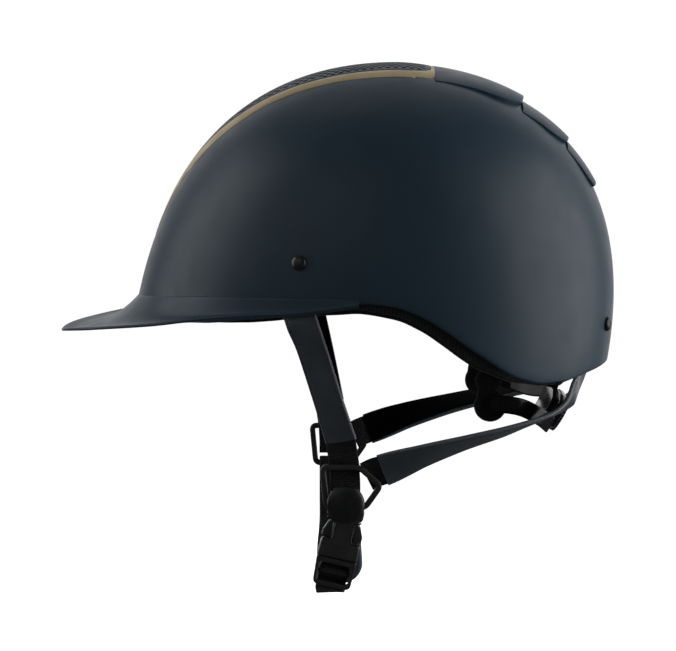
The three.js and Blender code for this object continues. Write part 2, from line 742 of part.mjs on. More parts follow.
/** Stops of a strap: down the wall from its rivet, then along its route to the ring. */
function strapStops(side, end) {
  const wall = WALL_STOPS[end].map(([angle, height, extra]) => {
    const turned = -SIDES[side] * angle;
    return [wallPoint(turned, height, strapDepth + extra), wallNormal(turned, height)];
  });
  const route = STRAP_ROUTES[end].map((place, i) => {
    const share = (i + 1) / STRAP_ROUTES[end].length;
    return [sidePlace(place, side, share ** 2), sideNormal(STRAP_FACES[end][i], side)];
  });
  return [...wall, ...route];
}

function webbingStops(side, end) {
  const [start, face] = strapStops(side, end).at(-1);
  const route = WEBBING_ROUTES[end].map((place) => [sidePlace(place, side), sideNormal([0, -1, 0], side)]);
  const first = route[0][0].clone().sub(start).setLength(7 * GAP).add(start);
  return [[first, face], ...route];
}

function addStraps() {
  forEachAnchor((side, end, angle, height) => {
    const tag = `${end}_${side}`;
    addPiece(`strap_rivet_${tag}`, strapRivet(angle, height), 'plastic');
    const washerDepth = strapDepth + STRAP.sleeveThickness / 2 + 1.2;
    const washer = wallCylinder(angle, height, RIVET.washerRadius, washerDepth, washerDepth + 0.9);
    addPiece(`rivet_washer_${tag}`, washer, 'steel');
    const { sleeveWidth, sleeveThickness, webbingWidth, webbingThickness } = STRAP;
    const sleeve = ribbon(strapStops(side, end), sleeveWidth, sleeveThickness, end === 'front' ? 14 : 20);
    addPiece(`strap_sleeve_${tag}`, sleeve, 'leather');
    const webbing = ribbon(webbingStops(side, end), webbingWidth, webbingThickness, end === 'front' ? 14 : 6);
    addPiece(`strap_webbing_${tag}`, webbing, 'webbing');
  });
}

/** Polygon moved inwards by a distance. */
function insetPolygon(corners, distance) {
  return corners.map((corner, i) => {
    const before = corners.at(i - 1);
    const after = corners[(i + 1) % corners.length];
    const into = new THREE.Vector2(corner[0] - before[0], corner[1] - before[1]).normalize();
    const away = new THREE.Vector2(after[0] - corner[0], after[1] - corner[1]).normalize();
    const normalIn = new THREE.Vector2(into.y, -into.x);
    const normalAway = new THREE.Vector2(away.y, -away.x);
    const bisector = normalIn.clone().add(normalAway).normalize();
    const length = distance / bisector.dot(normalIn);
    return [corner[0] + bisector.x * length, corner[1] + bisector.y * length];
  });
}

function strapRing(side) {
  const shape = roundedOutline(RING.outline, RING.corner);
  shape.holes.push(roundedOutline(insetPolygon(RING.outline, RING.bar), 1.2));
  const half = RING.thickness / 2;
  const geometry = plate(shape, -RING_PLANE - half, -RING_PLANE + half, 3);
  if (side === 'left') return geometry;
  return geometry.translate(RIGHT_SHIFT.x, 2 * RING_PLANE, RIGHT_SHIFT.z);
}

/** Domed cap that covers the joint between the ring and the buckle. */
function ringCap() {
  const profile = [[0, 0], [CAP.radius, 0], [CAP.radius, 1.2]];
  for (let k = 1; k <= 4; k += 1) {
    const turn = (k / 4) * (Math.PI / 2);
    profile.push([CAP.radius * Math.cos(turn), 1.2 + (CAP.height - 1.2) * Math.sin(turn)]);
  }
  profile.at(-1)[0] = 0;
  const geometry = new THREE.LatheGeometry(profile.map((p) => new THREE.Vector2(...p)), 24);
  const y = -RING_PLANE - BUCKLE.halfThickness - GAP;
  return geometry.rotateX(Math.PI).translate(CAP.x, y, CAP.z);
}

// ---------------------------------------------------------------------------------------
// Buckle: local X towards the rear, local Y inwards, local Z up from the parting line.
// ---------------------------------------------------------------------------------------

function buckleSocket() {
  const { halfWidth, halfThickness } = BUCKLE;
  const outline = [
    [-halfWidth, 0], [-11, 9.4], [-4.8, 10.2], [-4.8, 20.4], [-11.2, 23.6], [-11.2, 29], [-7, 35.5],
    [5, 35.5], [9.4, 29], [9.4, 23.6], [4.8, 20.4], [4.8, 10.2], [11, 9.4], [halfWidth, 0],
  ];
  const body = plate(roundedOutline(outline, 1.6), -halfThickness, halfThickness, 2);
  const cavity = box([-9.6, -2.8, -1], [9.6, 2.8, 22.2]);
  const ringSlot = box([-20, -1.9, 24.2], [20, 1.9, 40]);
  const relief = box([-20, 1, 33], [20, 10, 40]);
  return cut(body, cavity, ringSlot, relief);
}

function bucklePlug() {
  const { halfWidth } = BUCKLE;
  const outline = [[-halfWidth, -GAP], [halfWidth, -GAP], [10.8, -16.4, 3], [-10.4, -16.4, 3]];
  const shape = roundedOutline(outline, 0.8);
  shape.holes.push(roundedOutline([[-9.1, -3.4], [9.1, -3.4], [9, -13.8], [-8.8, -13.8]], 0.6));
  const frame = plate(shape, -4.4, 1.1, 3);
  const bar = new THREE.CylinderGeometry(1.1, 1.1, 19, 8).rotateZ(Math.PI / 2).translate(0, 0, -8.6);
  return join(frame, bar);
}

/** Spring arm of the plug half; its hooked end shows in the side window of the socket. */
function buckleProng(side) {
  const outline = [[5, 0], [9, 0], [9.1, 9.2], [9.3, 10.7], [11.3, 10.9], [11.2, 14.5], [9.2, 19.6],
    [6.6, 21], [6.2, 12]];
  return plate(roundedOutline(outline.map(([x, z]) => [x * side, z]), 0.7), -2.3, 2.3, 2);
}

function buckleGroup() {
  const group = new THREE.Group();
  group.position.set(BUCKLE.x, -RING_PLANE, BUCKLE.z);
  group.rotation.y = BUCKLE.tilt;
  helmet.add(group);
  group.updateMatrixWorld(true);
  return group;
}

/** Teardrop of leather that keeps the buckle off the skin. */
function buckleGuard() {
  const shape = new THREE.Shape();
  const side = new THREE.Vector2(GUARD.topX - GUARD.x, GUARD.topZ - GUARD.z);
  const lean = Math.atan2(side.y, side.x);
  const spread = Math.acos((GUARD.radius - GUARD.topRadius) / side.length());
  shape.absarc(GUARD.x, GUARD.z, GUARD.radius, lean + spread, lean - spread + 2 * Math.PI);
  shape.absarc(GUARD.topX, GUARD.topZ, GUARD.topRadius, lean - spread, lean + spread);
  return plate(shape, -62.4, -62.4 + GUARD.thickness, 8);
}

/** Stops of the chin webbing as [place, width direction], from the right ring to its tail. */
function chinStops(group) {
  const barX = (RING.outline[3][0] + RING.outline[4][0]) / 2 + RIGHT_SHIFT.x;
  const barZ = RING.outline[4][1] + RING.bar / 2 + RIGHT_SHIFT.z;
  const loop = 3.5;
  const right = [
    [1.4, -9.5], [loop, -4], [loop, 0], [0, loop], [-loop, 0], [-loop, -8], [-4.4, -20], [-8.5, -33],
  ].map(([y, z]) => [vector(barX, RING_PLANE + y, barZ + z), vector(1, 0, 0)]);
  const under = [[42, -151], [18, -158.5], [-12, -160.5], [-42, -159.5], [-57, -157.6]].map(([y, z]) => {
    return [vector(-25.8, y, z), vector(1, 0, 0)];
  });
  const acrossPlug = vector(1, 0, 0).transformDirection(group.matrixWorld);
  const plug = [
    [3.6, -18.6], [2.9, -15.6], [0.6, -11.7], [-2.5, -8.6], [0.6, -5.2], [3.4, -4.8], [4.9, -8], [5, -18.5],
  ].map(([y, z]) => [group.localToWorld(vector(0, y, z)), acrossPlug]);
  return [...right, ...under, ...plug];
}

/** Ribbon whose stops give the direction of its width. */
function bentRibbon(stops, width, thickness, steps) {
  const path = new THREE.CatmullRomCurve3(stops.map(([place]) => place), false, 'centripetal');
  const widths = new THREE.CatmullRomCurve3(stops.map(([, direction]) => direction), false, 'centripetal');
  const rings = Array.from({ length: steps + 1 }, (_, i) => {
    const u = path.getUtoTmapping(i / steps);
    const along = path.getTangent(u);
    const direction = widths.getPoint(u);
    const across = direction.addScaledVector(along, -along.dot(direction)).normalize();
    const out = new THREE.Vector3().crossVectors(along, across).normalize();
    return strapSection({ centre: path.getPoint(u), across, out }, width, thickness);
  });
  return loft(rings);
}

function addBuckle() {
  const group = buckleGroup();
  addPiece('buckle_socket', buckleSocket(), 'plastic', group);
  addPiece('buckle_plug', bucklePlug(), 'plastic', group);
  addPiece('buckle_prong_front', buckleProng(-1), 'plastic', group);
  addPiece('buckle_prong_rear', buckleProng(1), 'plastic', group);
  const chin = bentRibbon(chinStops(group), STRAP.webbingWidth - 0.4, STRAP.webbingThickness, 110);
  addPiece('chin_webbing', chin, 'webbing');
  addPiece('buckle_guard', buckleGuard(), 'leather');
}

function addHarness() {
  addStraps();
  for (const side of Object.keys(SIDES)) addPiece(`strap_ring_${side}`, strapRing(side), 'plastic');
  addPiece('ring_cap', ringCap(), 'plastic');
  addBuckle();
}

// ---------------------------------------------------------------------------------------
// Rear cradle. In the dial's own frame, local X points out of the dial and local Z is up.
// ---------------------------------------------------------------------------------------

function dialGroup() {
  const group = new THREE.Group();
  group.position.set(DIAL.x, 0, DIAL.z);
  group.rotation.y = DIAL.lean;
  helmet.add(group);
  group.updateMatrixWorld(true);
  return group;
}

const HOUSING_BACK = -DIAL.thickness - 0.6; // where the housing starts behind the knob
const HOUSING_SPLIT = HOUSING_BACK - 4.2;

/** Lens-shaped outline of the housing in local Y and Z, as a solid between two values of local X. */
function housingSlab(grow, fromX, toX) {
  const y = HOUSING.halfWidth + grow;
  const z = HOUSING.halfHeight + grow;
  const outline = [
    [-y, -z + 3], [-y, z - 3], [-12, z], [12, z], [y, z - 3], [y, -z + 3], [12, -z], [-12, -z],
  ];
  const shape = roundedOutline(outline, 2.5);
  const depth = toX - fromX;
  const geometry = new THREE.ExtrudeGeometry(shape, { depth, bevelEnabled: false, curveSegments: 2 });
  return geometry.rotateX(Math.PI / 2).rotateZ(Math.PI / 2).translate(fromX, 0, 0);
}

function rackBar(side) {
  const height = DIAL.pinionRadius + 1.5;
  const y = [-16, 33];
  const [front, back] = [HOUSING_SPLIT - 1.4, HOUSING_SPLIT + 1.4];
  const bar = box([front, y[0], height], [back, y[1], height + 2.6]);
  const teeth = [];
  for (let k = 0; k < 9; k += 1) {
    const middle = y[0] + 2 + k * 2.6;
    teeth.push(box([front, middle - 0.6, height - 0.9], [back, middle + 0.6, height + 0.1]));
  }
  const solid = join(bar, ...teeth);
  return side > 0 ? solid : solid.rotateX(Math.PI);
}

/** Shaft of the dial with the small gear that drives both racks. */
function dialSpindle() {
  const shaft = new THREE.CylinderGeometry(2, 2, 9.2, 12).rotateZ(Math.PI / 2);
  shaft.translate(HOUSING_BACK - 3.4, 0, 0);
  const gear = new THREE.Shape();
  const teeth = 9;
  for (let k = 0; k < teeth * 4; k += 1) {
    const turn = (k / (teeth * 4)) * 2 * Math.PI;
    const radius = k % 4 < 2 ? DIAL.pinionRadius + 0.4 : DIAL.pinionRadius - 0.5;
    if (k === 0) gear.moveTo(radius, 0);
    else gear.lineTo(radius * Math.cos(turn), radius * Math.sin(turn));
  }
  gear.closePath();
  const wheel = new THREE.ExtrudeGeometry(gear, { depth: 2.6, bevelEnabled: false });
  wheel.rotateY(Math.PI / 2).translate(HOUSING_SPLIT - 1.3, 0, 0);
  return join(shaft, wheel);
}

function dialKnob() {
  const shape = new THREE.Shape();
  const ridges = 24;
  for (let k = 0; k < ridges * 2; k += 1) {
    const turn = (k / (ridges * 2)) * 2 * Math.PI;
    const radius = DIAL.radius - (k % 2) * 0.7;
    if (k === 0) shape.moveTo(radius, 0);
    else shape.lineTo(radius * Math.cos(turn), radius * Math.sin(turn));
  }
  shape.closePath();
  const knob = new THREE.ExtrudeGeometry(shape, { depth: DIAL.thickness, bevelEnabled: false });
  knob.rotateY(Math.PI / 2).translate(-DIAL.thickness, 0, 0);
  const bore = new THREE.CylinderGeometry(2.3, 2.3, 3, 12);
  bore.rotateZ(Math.PI / 2).translate(-DIAL.thickness, 0, 0);
  return cut(knob, bore);
}

function addDial() {
  const group = dialGroup();
  addPiece('dial_knob', dialKnob(), 'plastic', group);
  addPiece('dial_spindle', dialSpindle(), 'plastic', group);
  const front = HOUSING_BACK - HOUSING.depth;
  const rackTunnel = box([HOUSING_SPLIT - 1.8, -40, -8.3], [HOUSING_SPLIT + 1.8, 40, 8.3]);
  const shaftHole = new THREE.CylinderGeometry(2.35, 2.35, 40, 12).rotateZ(Math.PI / 2);
  const cover = cut(housingSlab(0, HOUSING_SPLIT + GAP / 2, HOUSING_BACK), rackTunnel, shaftHole);
  const base = cut(housingSlab(0, front, HOUSING_SPLIT - GAP / 2), rackTunnel, shaftHole);
  addPiece('dial_housing_cover', cover, 'gloss', group);
  addPiece('dial_housing_base', base, 'gloss', group);
  addPiece('rack_right', rackBar(1), 'plastic', group);
  addPiece('rack_left', rackBar(-1), 'plastic', group);
  return group;
}

/** Curved strip from the end of a rack forward to the nape pad. */
function cradleBand(side, group) {
  const rackZ = (DIAL.pinionRadius + 2.8) * side;
  const start = group.localToWorld(vector(HOUSING_SPLIT, 34.2 * side, rackZ));
  const y = (value) => value * side;
  const stops = [
    [start, vector(0.6, y(0.8), -0.2)],
    [vector(93, y(46), mix(start.z, -56, 0.6)), vector(0.65, y(0.76), -0.1)],
    [vector(82, y(57.2), -53), vector(0.4, y(0.9), 0)],
    [vector(74, y(59.8), -51), vector(0.15, y(1), 0)],
    [vector(64, y(59.8), WING.z), vector(0, y(1), 0)],
  ];
  return ribbon(stops, 10, 2, 10);
}

/** Two-lobed pad at the tip of a cradle band. */
function napePad(side) {
  const shape = new THREE.Shape();
  shape.absarc(WING.x, WING.z - 1.5, 9.2, Math.PI * 0.82, Math.PI * 2.25);
  shape.absarc(WING.x - 1, WING.z + 13, 7.5, -Math.PI * 0.25, Math.PI * 1.2);
  const middle = WING.y * side;
  return plate(shape, middle - 2.5, middle + 2.5, 6);
}

function addCradle() {
  const group = addDial();
  for (const [name, side] of Object.entries(SIDES)) {
    addPiece(`cradle_band_${name}`, cradleBand(side, group), 'gloss');
    addPiece(`nape_pad_${name}`, napePad(side), 'fabric');
  }
  const top = group.localToWorld(vector(HOUSING_BACK - HOUSING.depth + 2, 0, HOUSING.halfHeight + 1.6));
  const yokeStops = [
    [top, vector(1, 0, 0)],
    [vector(92, 0, -42), vector(1, 0, 0)],
    [vector(90, 0, -22), vector(1, 0, 0.05)],
    [vector(89.5, 0, 6), vector(1, 0, 0.05)],
  ];
  addPiece('cradle_yoke', ribbon(yokeStops, 22, 2.2, 8), 'gloss');
  addPiece('yoke_anchor', box([91.2, -9, -5], [96.8, 9, 5]), 'plastic');
}

// ---------------------------------------------------------------------------------------
// Assembly
// ---------------------------------------------------------------------------------------

addCrown();
addLiners();
addHarness();
addCradle();
helmet.position.copy(ORIGIN).negate();

export default helmet;
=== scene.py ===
"""Equestrian riding helmet: the visual model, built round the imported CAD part.

Points are worked out in millimetres in the design frame: the helmet faces -X, the wearer's left
side is -Y, and height 0 is the brow edge. place() turns them into metres in the part's frame.
"""

import math

import bmesh
import bpy
import numpy as np
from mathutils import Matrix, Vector


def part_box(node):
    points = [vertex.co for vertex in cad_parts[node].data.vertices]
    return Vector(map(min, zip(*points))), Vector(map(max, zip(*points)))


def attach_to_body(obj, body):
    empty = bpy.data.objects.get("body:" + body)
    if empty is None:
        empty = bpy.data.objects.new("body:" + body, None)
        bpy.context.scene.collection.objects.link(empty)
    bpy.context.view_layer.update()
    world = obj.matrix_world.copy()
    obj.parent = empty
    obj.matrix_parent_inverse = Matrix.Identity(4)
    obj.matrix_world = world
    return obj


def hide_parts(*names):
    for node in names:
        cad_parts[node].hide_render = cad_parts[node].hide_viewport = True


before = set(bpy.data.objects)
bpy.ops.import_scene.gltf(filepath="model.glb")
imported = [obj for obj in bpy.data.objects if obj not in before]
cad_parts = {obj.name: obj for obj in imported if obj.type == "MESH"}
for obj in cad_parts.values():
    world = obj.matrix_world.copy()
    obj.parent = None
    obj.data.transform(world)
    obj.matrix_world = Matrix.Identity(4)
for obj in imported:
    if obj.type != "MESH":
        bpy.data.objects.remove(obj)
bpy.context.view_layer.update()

# ---------------------------------------------------------------------------------------
# Driving dimensions: those of the CAD part, and details that only this model has
# ---------------------------------------------------------------------------------------

APEX_X = 11.6
APEX_Z = 138.1
FRONT_PROFILE = [[0, APEX_Z], [64.9, APEX_Z], [132.7, 106.1], [151.7, -12]]
REAR_PROFILE = [[0, APEX_Z], [33.7, APEX_Z], [153.4, 112.5], [120.6, -44]]
SIDE_PROFILE = [[0, APEX_Z], [80, APEX_Z], [118.5, 80], [99, -44]]
LOWER_EDGE = [
    [-140, -4], [-70, 0], [-25, 7.6], [-7, 10.4], [8.5, 8.8], [22, 4.1], [36, -4.1], [50, -14.3],
    [62, -22.6], [71, -29], [79.5, -33.5], [94.3, -37.3], [104.5, -37.3], [118, -34.8], [140, -31],
]

GAP = 0.35
SIDES = {"left": -1, "right": 1}
SHELL_THICKNESS = 3
FOAM = {"top": 19.3, "side": 18, "end": 26, "edge_raise": 4}
FABRIC_GAP = 2
FABRIC = {"thickness": 5.5, "outer_depth": 12, "height": 62, "roll": 5, "swell": 1.6, "seam_width": 0.045}
FABRIC_HANG = [
    [-60, 1], [-35, 2], [-9.5, 4.6], [1.5, 5.6], [15, 6.3], [29, 7.4], [43, 8.4], [52, 8.2], [63, 5.8],
    [71, 4], [87, 1], [140, 0.8],
]
CROWN_PAD = {
    "half_length": 62, "half_width": 44, "thickness": 6, "edge_thickness": 5, "petals": 6, "seam_width": 0.12,
}

PEAK = {
    "end_angle": 81, "reach": 43, "side_reach": 1.2, "reach_angle": 31, "edge_thickness": 1.8,
    "fall_power": 2.6,
    "seam": [[0, 4.5], [25, 8], [43, 10.6], [57, 11.6], [69, 12.2], [77, 12.2], [81, 11.6]],
    "edge": [
        [0, -14.3], [15, -10.3], [21, -8.4], [33, -4.5], [43, -0.3], [57, 3.8], [63, 4.7], [69, 6.4],
        [75, 8.6], [81, 11],
    ],
    "root": [[0, -4.5], [21, -5], [43, -3.6], [57, 0.4], [69, 3.2], [81, 8.4]],
}
TRIM = {
    "half_width": [
        [-127, 1.2], [-125, 3], [-121, 5.2], [-116, 7.4], [-110, 10], [-104, 14.5], [-98, 18.3],
        [-92, 20.6], [-87, 22.8], [-82, 24.8], [-76, 26.8], [-70, 28.8], [-62, 31], [-55, 32.6],
        [-46, 34.6], [-37, 36.4], [-26, 38.2], [-15, 39.7], [-5, 41], [5, 41.4], [20, 41.4],
        [41, 40.2],
    ],
    "rear": 41, "corner": 20, "lift": 1.1,
}
GRILLE = {
    "half_width": [
        [-108, 1], [-106, 4], [-101, 7.8], [-95, 10.6], [-92, 11.6], [-87, 14], [-82, 16.4],
        [-76, 18.6], [-70, 20.3], [-62, 22.4], [-55, 24.2], [-46, 26.4], [-37, 28.4], [-26, 30.2],
        [-15, 31.3], [-5, 31.9], [5, 32.2], [20, 32.2], [31, 31.6],
    ],
    "rear": 31, "corner": 12, "lift": 1.4,
}
SCOOPS = {
    "scoop_upper": {"x": (33, 82.3), "width": (40.6, 29.5), "lift": (1.2, 4.4), "corner": 16},
    "scoop_middle": {"x": (82.8, 108.2), "width": (29.2, 24), "lift": (1.4, 3.4), "corner": 13},
    "scoop_lower": {"x": (108.7, 124.3), "width": (22, 19.5), "lift": (1.2, 2.6), "corner": 8},
}
VENTS = [[-92, -60], [-50, -18], [-8, 24]]
VENT_HALF_WIDTH = 9
VENT_FLOOR = 60
CHANNEL = {"x": (-96, 96), "half_width": 11, "floor": 112}
ABOVE_CROWN = 170

STRAP = {"sleeve_width": 18.6, "sleeve_thickness": 3.2, "web_width": 16.8, "web_thickness": 1.4}
STRAP_CHANNEL = {"wider": 3, "deeper": 5, "run_out": 14}
RIB = {"pitch": 1.3, "depth": 0.07}
RIVET = {"cap_radius": 4.15, "cap_height": 2.2}
ANCHORS = {"front": (1.15, 32), "rear": (2.83, -8.5)}
STRAP_DEPTH = SHELL_THICKNESS + GAP + STRAP["sleeve_thickness"] / 2 + 0.9
WALL_STOPS = {
    "front": [[1.15, 40, 0.3], [1.15, 24, 0.3], [1.155, 7, 0.9]],
    "rear": [[2.835, -1, 0.3], [2.82, -12, 0.7], [2.79, -24, 2], [2.76, -36, 4.4]],
}
STRAP_ROUTES = {
    "front": [[-41, -90.5, -2], [-35.8, -83.6, -17], [-27.4, -74.6, -45], [-19.8, -68.2, -70]],
    "rear": [
        [111, -48.3, -46], [104.5, -55, -52.6], [96, -60.5, -56.8], [87.4, -64.6, -59.8],
        [72.7, -69.4, -64.2], [48.5, -71, -70.9], [24, -70.5, -78.7], [3.5, -67, -86.8],
    ],
}
STRAP_FACES = {
    "front": [[-0.25, -1, -0.2], [-0.42, -1, -0.35], [-0.45, -1, -0.38], [-0.3, -1, -0.3]],
    "rear": [
        [0.84, -0.42, -0.3], [0.6, -0.28, -0.75], [0.4, -0.16, -0.9], [0.33, -0.2, -0.92],
        [0.3, -0.33, -0.9], [0.27, -0.5, -0.82], [0.15, -0.75, -0.6], [-0.12, -1, -0.1],
    ],
}
WEB_ROUTES = {
    "front": [
        [-19, -66.2, -77], [-18, -65.4, -84], [-17.6, -65.9, -90], [-17.4, -68.1, -95],
        [-17.4, -68.4, -101.5],
    ],
    "rear": [[-1, -65.6, -88.4], [-5.6, -65.4, -90.7]],
}
RING_PLANE = 68.5
RIGHT_SHIFT = (-7, 3)
RING = {
    "outline": [[-32, -83.2], [-9, -83.2], [4.5, -95], [-5.5, -109.3], [-29.5, -109.3]],
    "bar": 3.3, "thickness": 3, "corner": 3,
}
CAP = {"x": -17.3, "z": -104.6, "radius": 10.7, "height": 3.6}
BUCKLE = {"x": -22.1, "z": -136, "tilt": 0.222, "half_width": 11.4, "half_thickness": 4.8}
GUARD = {
    "x": -19.5, "y": -62.4, "z": -140.5, "radius": 11.8, "top": (-17, -121), "top_radius": 8,
    "thickness": 3,
}
DIAL = {"x": 109.3, "z": -64.2, "lean": 0.505, "radius": 12, "thickness": 3.2, "pinion": 3.6}
HOUSING = {"half_width": 27, "half_height": 10.5, "depth": 9.4}
HOUSING_BACK = -DIAL["thickness"] - 0.6
HOUSING_SPLIT = HOUSING_BACK - 4.2
WING = {"x": 64, "y": 55, "z": -50.5, "upper_lobe": 13, "half_thickness": 2.5}
BAND = {"width": 10, "thickness": 2}
YOKE = {"width": 22, "thickness": 2.2}

# The crown's height in the part's frame gives the height of the design frame's origin.
ORIGIN = np.array([APEX_X, 0, APEX_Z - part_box("outer_shell")[1].z * 1000])


def place(points):
    """Design millimetres as metres in the part's frame."""
    return (np.asarray(points, float) - ORIGIN) / 1000


# ---------------------------------------------------------------------------------------
# Curves and tables
# ---------------------------------------------------------------------------------------

def mix(a, b, k):
    return a + (b - a) * k


def unit(v):
    v = np.asarray(v, float)
    return v / np.linalg.norm(v, axis=-1, keepdims=True)


def running_length(points):
    """Length along a path up to each of its points."""
    return np.concatenate([[0], np.cumsum(np.linalg.norm(np.diff(points, axis=0), axis=1))])


def turn_angles(count):
    return np.linspace(0, 2 * math.pi, count, endpoint=False)


def arc(x, y, radius, turn):
    """Points round (x, y) at the angles in turn."""
    return np.stack([x + radius * np.cos(turn), y + radius * np.sin(turn)], -1)


def circle(radius, segments):
    return arc(0, 0, radius, turn_angles(segments))


def cubic(points, t):
    """Points of a cubic curve given by four (distance, height) pairs."""
    t = np.asarray(t, float)[..., None]
    s = 1 - t
    p = np.array(points, float)
    return s**3 * p[0] + 3 * s * s * t * p[1] + 3 * s * t * t * p[2] + t**3 * p[3]


def smooth_table(table, x):
    """Smooth values at x of a table of [x, value] rows, held level past its ends."""
    knots, values = np.array(table, float).T
    slopes = np.diff(values) / np.diff(knots)
    product = slopes[:-1] * slopes[1:]
    total = slopes[:-1] + slopes[1:]
    middle = np.where(product > 0, 2 * product / np.where(total == 0, 1, total), 0)
    tangents = np.concatenate([[slopes[0]], middle, [slopes[-1]]])
    x = np.clip(np.asarray(x, float), knots[0], knots[-1])
    i = np.clip(np.searchsorted(knots, x, side="right") - 1, 0, len(knots) - 2)
    width = knots[i + 1] - knots[i]
    s = (x - knots[i]) / width
    level = mix(values[i], values[i + 1], s * s * (3 - 2 * s))
    return level + width * s * (1 - s) * ((1 - s) * tangents[i] - s * tangents[i + 1])


def solve_falling(low, high, value, shape):
    """Roots of a falling function between low and high, for a whole array at once."""
    a = np.full(shape, float(low))
    b = np.full(shape, float(high))
    for _ in range(40):
        middle = (a + b) / 2
        above = value(middle) > 0
        a = np.where(above, middle, a)
        b = np.where(above, b, middle)
    return (a + b) / 2


def catmull(points, u):
    """Points of a centripetal Catmull-Rom curve through points, with u from 0 to 1."""
    points = np.asarray(points, float)
    count = len(points)
    ends = [2 * points[0] - points[1]], [2 * points[-1] - points[-2]]
    padded = np.concatenate([ends[0], points, ends[1]])
    at = np.clip(np.asarray(u, float), 0, 1) * (count - 1)
    i = np.minimum(at.astype(int), count - 2)
    w = (at - i)[:, None]
    p0, p1, p2, p3 = (padded[i + k] for k in range(4))
    gaps = [np.sqrt(np.linalg.norm(b - a, axis=1))[:, None] for a, b in ((p0, p1), (p1, p2), (p2, p3))]
    d1 = np.where(gaps[1] < 1e-4, 1, gaps[1])
    d0 = np.where(gaps[0] < 1e-4, d1, gaps[0])
    d2 = np.where(gaps[2] < 1e-4, d1, gaps[2])
    t1 = ((p1 - p0) / d0 - (p2 - p0) / (d0 + d1) + (p2 - p1) / d1) * d1
    t2 = ((p2 - p1) / d1 - (p3 - p1) / (d1 + d2) + (p3 - p2) / d2) * d1
    c2 = -3 * p1 + 3 * p2 - 2 * t1 - t2
    c3 = 2 * p1 - 2 * p2 + t1 + t2
    return p1 + t1 * w + c2 * w**2 + c3 * w**3


# ---------------------------------------------------------------------------------------
# The dome: angle 0 is the front, a quarter turn is the wearer's left, t falls from the crown
# ---------------------------------------------------------------------------------------

def dome_surface(angle, t):
    angle, t = np.broadcast_arrays(np.asarray(angle, float), np.asarray(t, float))
    c, s = np.cos(angle), np.sin(angle)
    side = cubic(SIDE_PROFILE, t)
    end = np.where((c > 0)[..., None], cubic(FRONT_PROFILE, t), cubic(REAR_PROFILE, t))
    height = end[..., 1] * c * c + side[..., 1] * s * s
    return np.stack([APEX_X - end[..., 0] * c, -side[..., 0] * s, height], -1)


def dome_normal(angle, t):
    step = 0.002
    start = np.maximum(t, 0.02)
    along = dome_surface(angle, start + step) - dome_surface(angle, start - step)
    around = dome_surface(angle + step, start) - dome_surface(angle - step, start)
    normal = unit(np.cross(along, around))
    upright = np.clip(1 - np.asarray(t) / 0.06, 0, 1)[..., None]
    return unit(normal * (1 - upright) + np.array([0, 0, 1]) * upright)


def dome_layer(angle, t, depth):
    depth = np.broadcast_to(np.asarray(depth, float), np.broadcast(angle, t).shape)
    return dome_surface(angle, t) - dome_normal(angle, t) * depth[..., None]


def edge_t(angle, depth_at, lift):
    """t at which a layer of the dome reaches the shell's lower edge, raised by lift."""
    def above(t):
        point = dome_layer(angle, t, depth_at(angle, t))
        return point[..., 2] - smooth_table(LOWER_EDGE, point[..., 0]) - lift
    return solve_falling(0.2, 1.1, above, np.shape(angle))


def wall_t(angle, height, depth=0.0):
    angle = np.asarray(angle, float)
    return solve_falling(0.1, 1.15, lambda t: dome_layer(angle, t, depth)[..., 2] - height, angle.shape)


def wall_point(angle, height, depth):
    return dome_layer(np.asarray(angle, float), wall_t(angle, height, depth), depth)


def wall_normal(angle, height):
    return dome_normal(np.asarray(angle, float), wall_t(angle, height))


def crown_point(x, y, lift):
    """Points of the crown above (x, y), lifted off the outer surface."""
    x, y, lift = np.broadcast_arrays(*(np.asarray(v, float) for v in (x, y, lift)))

    def reach(t):
        ends = np.where(x < APEX_X, cubic(FRONT_PROFILE, t)[..., 0], cubic(REAR_PROFILE, t)[..., 0])
        return ends, cubic(SIDE_PROFILE, t)[..., 0]

    def outside(t):
        end, side = reach(t)
        return ((x - APEX_X) / end) ** 2 + (y / side) ** 2 - 1

    t = solve_falling(0.0005, 0.95, outside, x.shape)
    end, side = reach(t)
    return dome_layer(np.arctan2(-y / side, (APEX_X - x) / end), t, -lift)


def foam_depth(angle, t):
    wall = mix(FOAM["side"], FOAM["end"], np.cos(angle) ** 2)
    return SHELL_THICKNESS + GAP + mix(FOAM["top"], wall, np.minimum(1, t * 1.5))


def fabric_depth(angle, t):
    return foam_depth(angle, t) + FABRIC_GAP


# ---------------------------------------------------------------------------------------
# Meshes
# ---------------------------------------------------------------------------------------

SHARP_ANGLE = 40


def smooth(mesh, sharp_angle):
    """Smooth shading, with the edges above an angle in degrees left sharp."""
    mesh.shade_smooth()
    mesh.set_sharp_from_angle(angle=math.radians(sharp_angle))


def finish_mesh(mesh, sharp_angle):
    """Merges doubled points, turns the faces outwards and smooths all but the sharp edges."""
    work = bmesh.new()
    work.from_mesh(mesh)
    bmesh.ops.remove_doubles(work, verts=work.verts, dist=2e-6)
    bmesh.ops.recalc_face_normals(work, faces=work.faces)
    work.to_mesh(mesh)
    work.free()
    smooth(mesh, sharp_angle)


def new_object(name, data, material=None):
    obj = bpy.data.objects.new(name, data)
    bpy.context.scene.collection.objects.link(obj)
    if material:
        data.materials.append(material)
    return obj


def mesh_object(name, points, faces, material, sharp_angle=45, corner_uv=None):
    mesh = bpy.data.meshes.new(name)
    mesh.from_pydata(place(points).tolist(), [], [list(f) for f in faces])
    if corner_uv is not None:
        layer = mesh.uv_layers.new(name="UVMap")
        layer.data.foreach_set("uv", np.asarray(corner_uv, np.float32).ravel())
    finish_mesh(mesh, sharp_angle)
    return new_object(name, mesh, material)


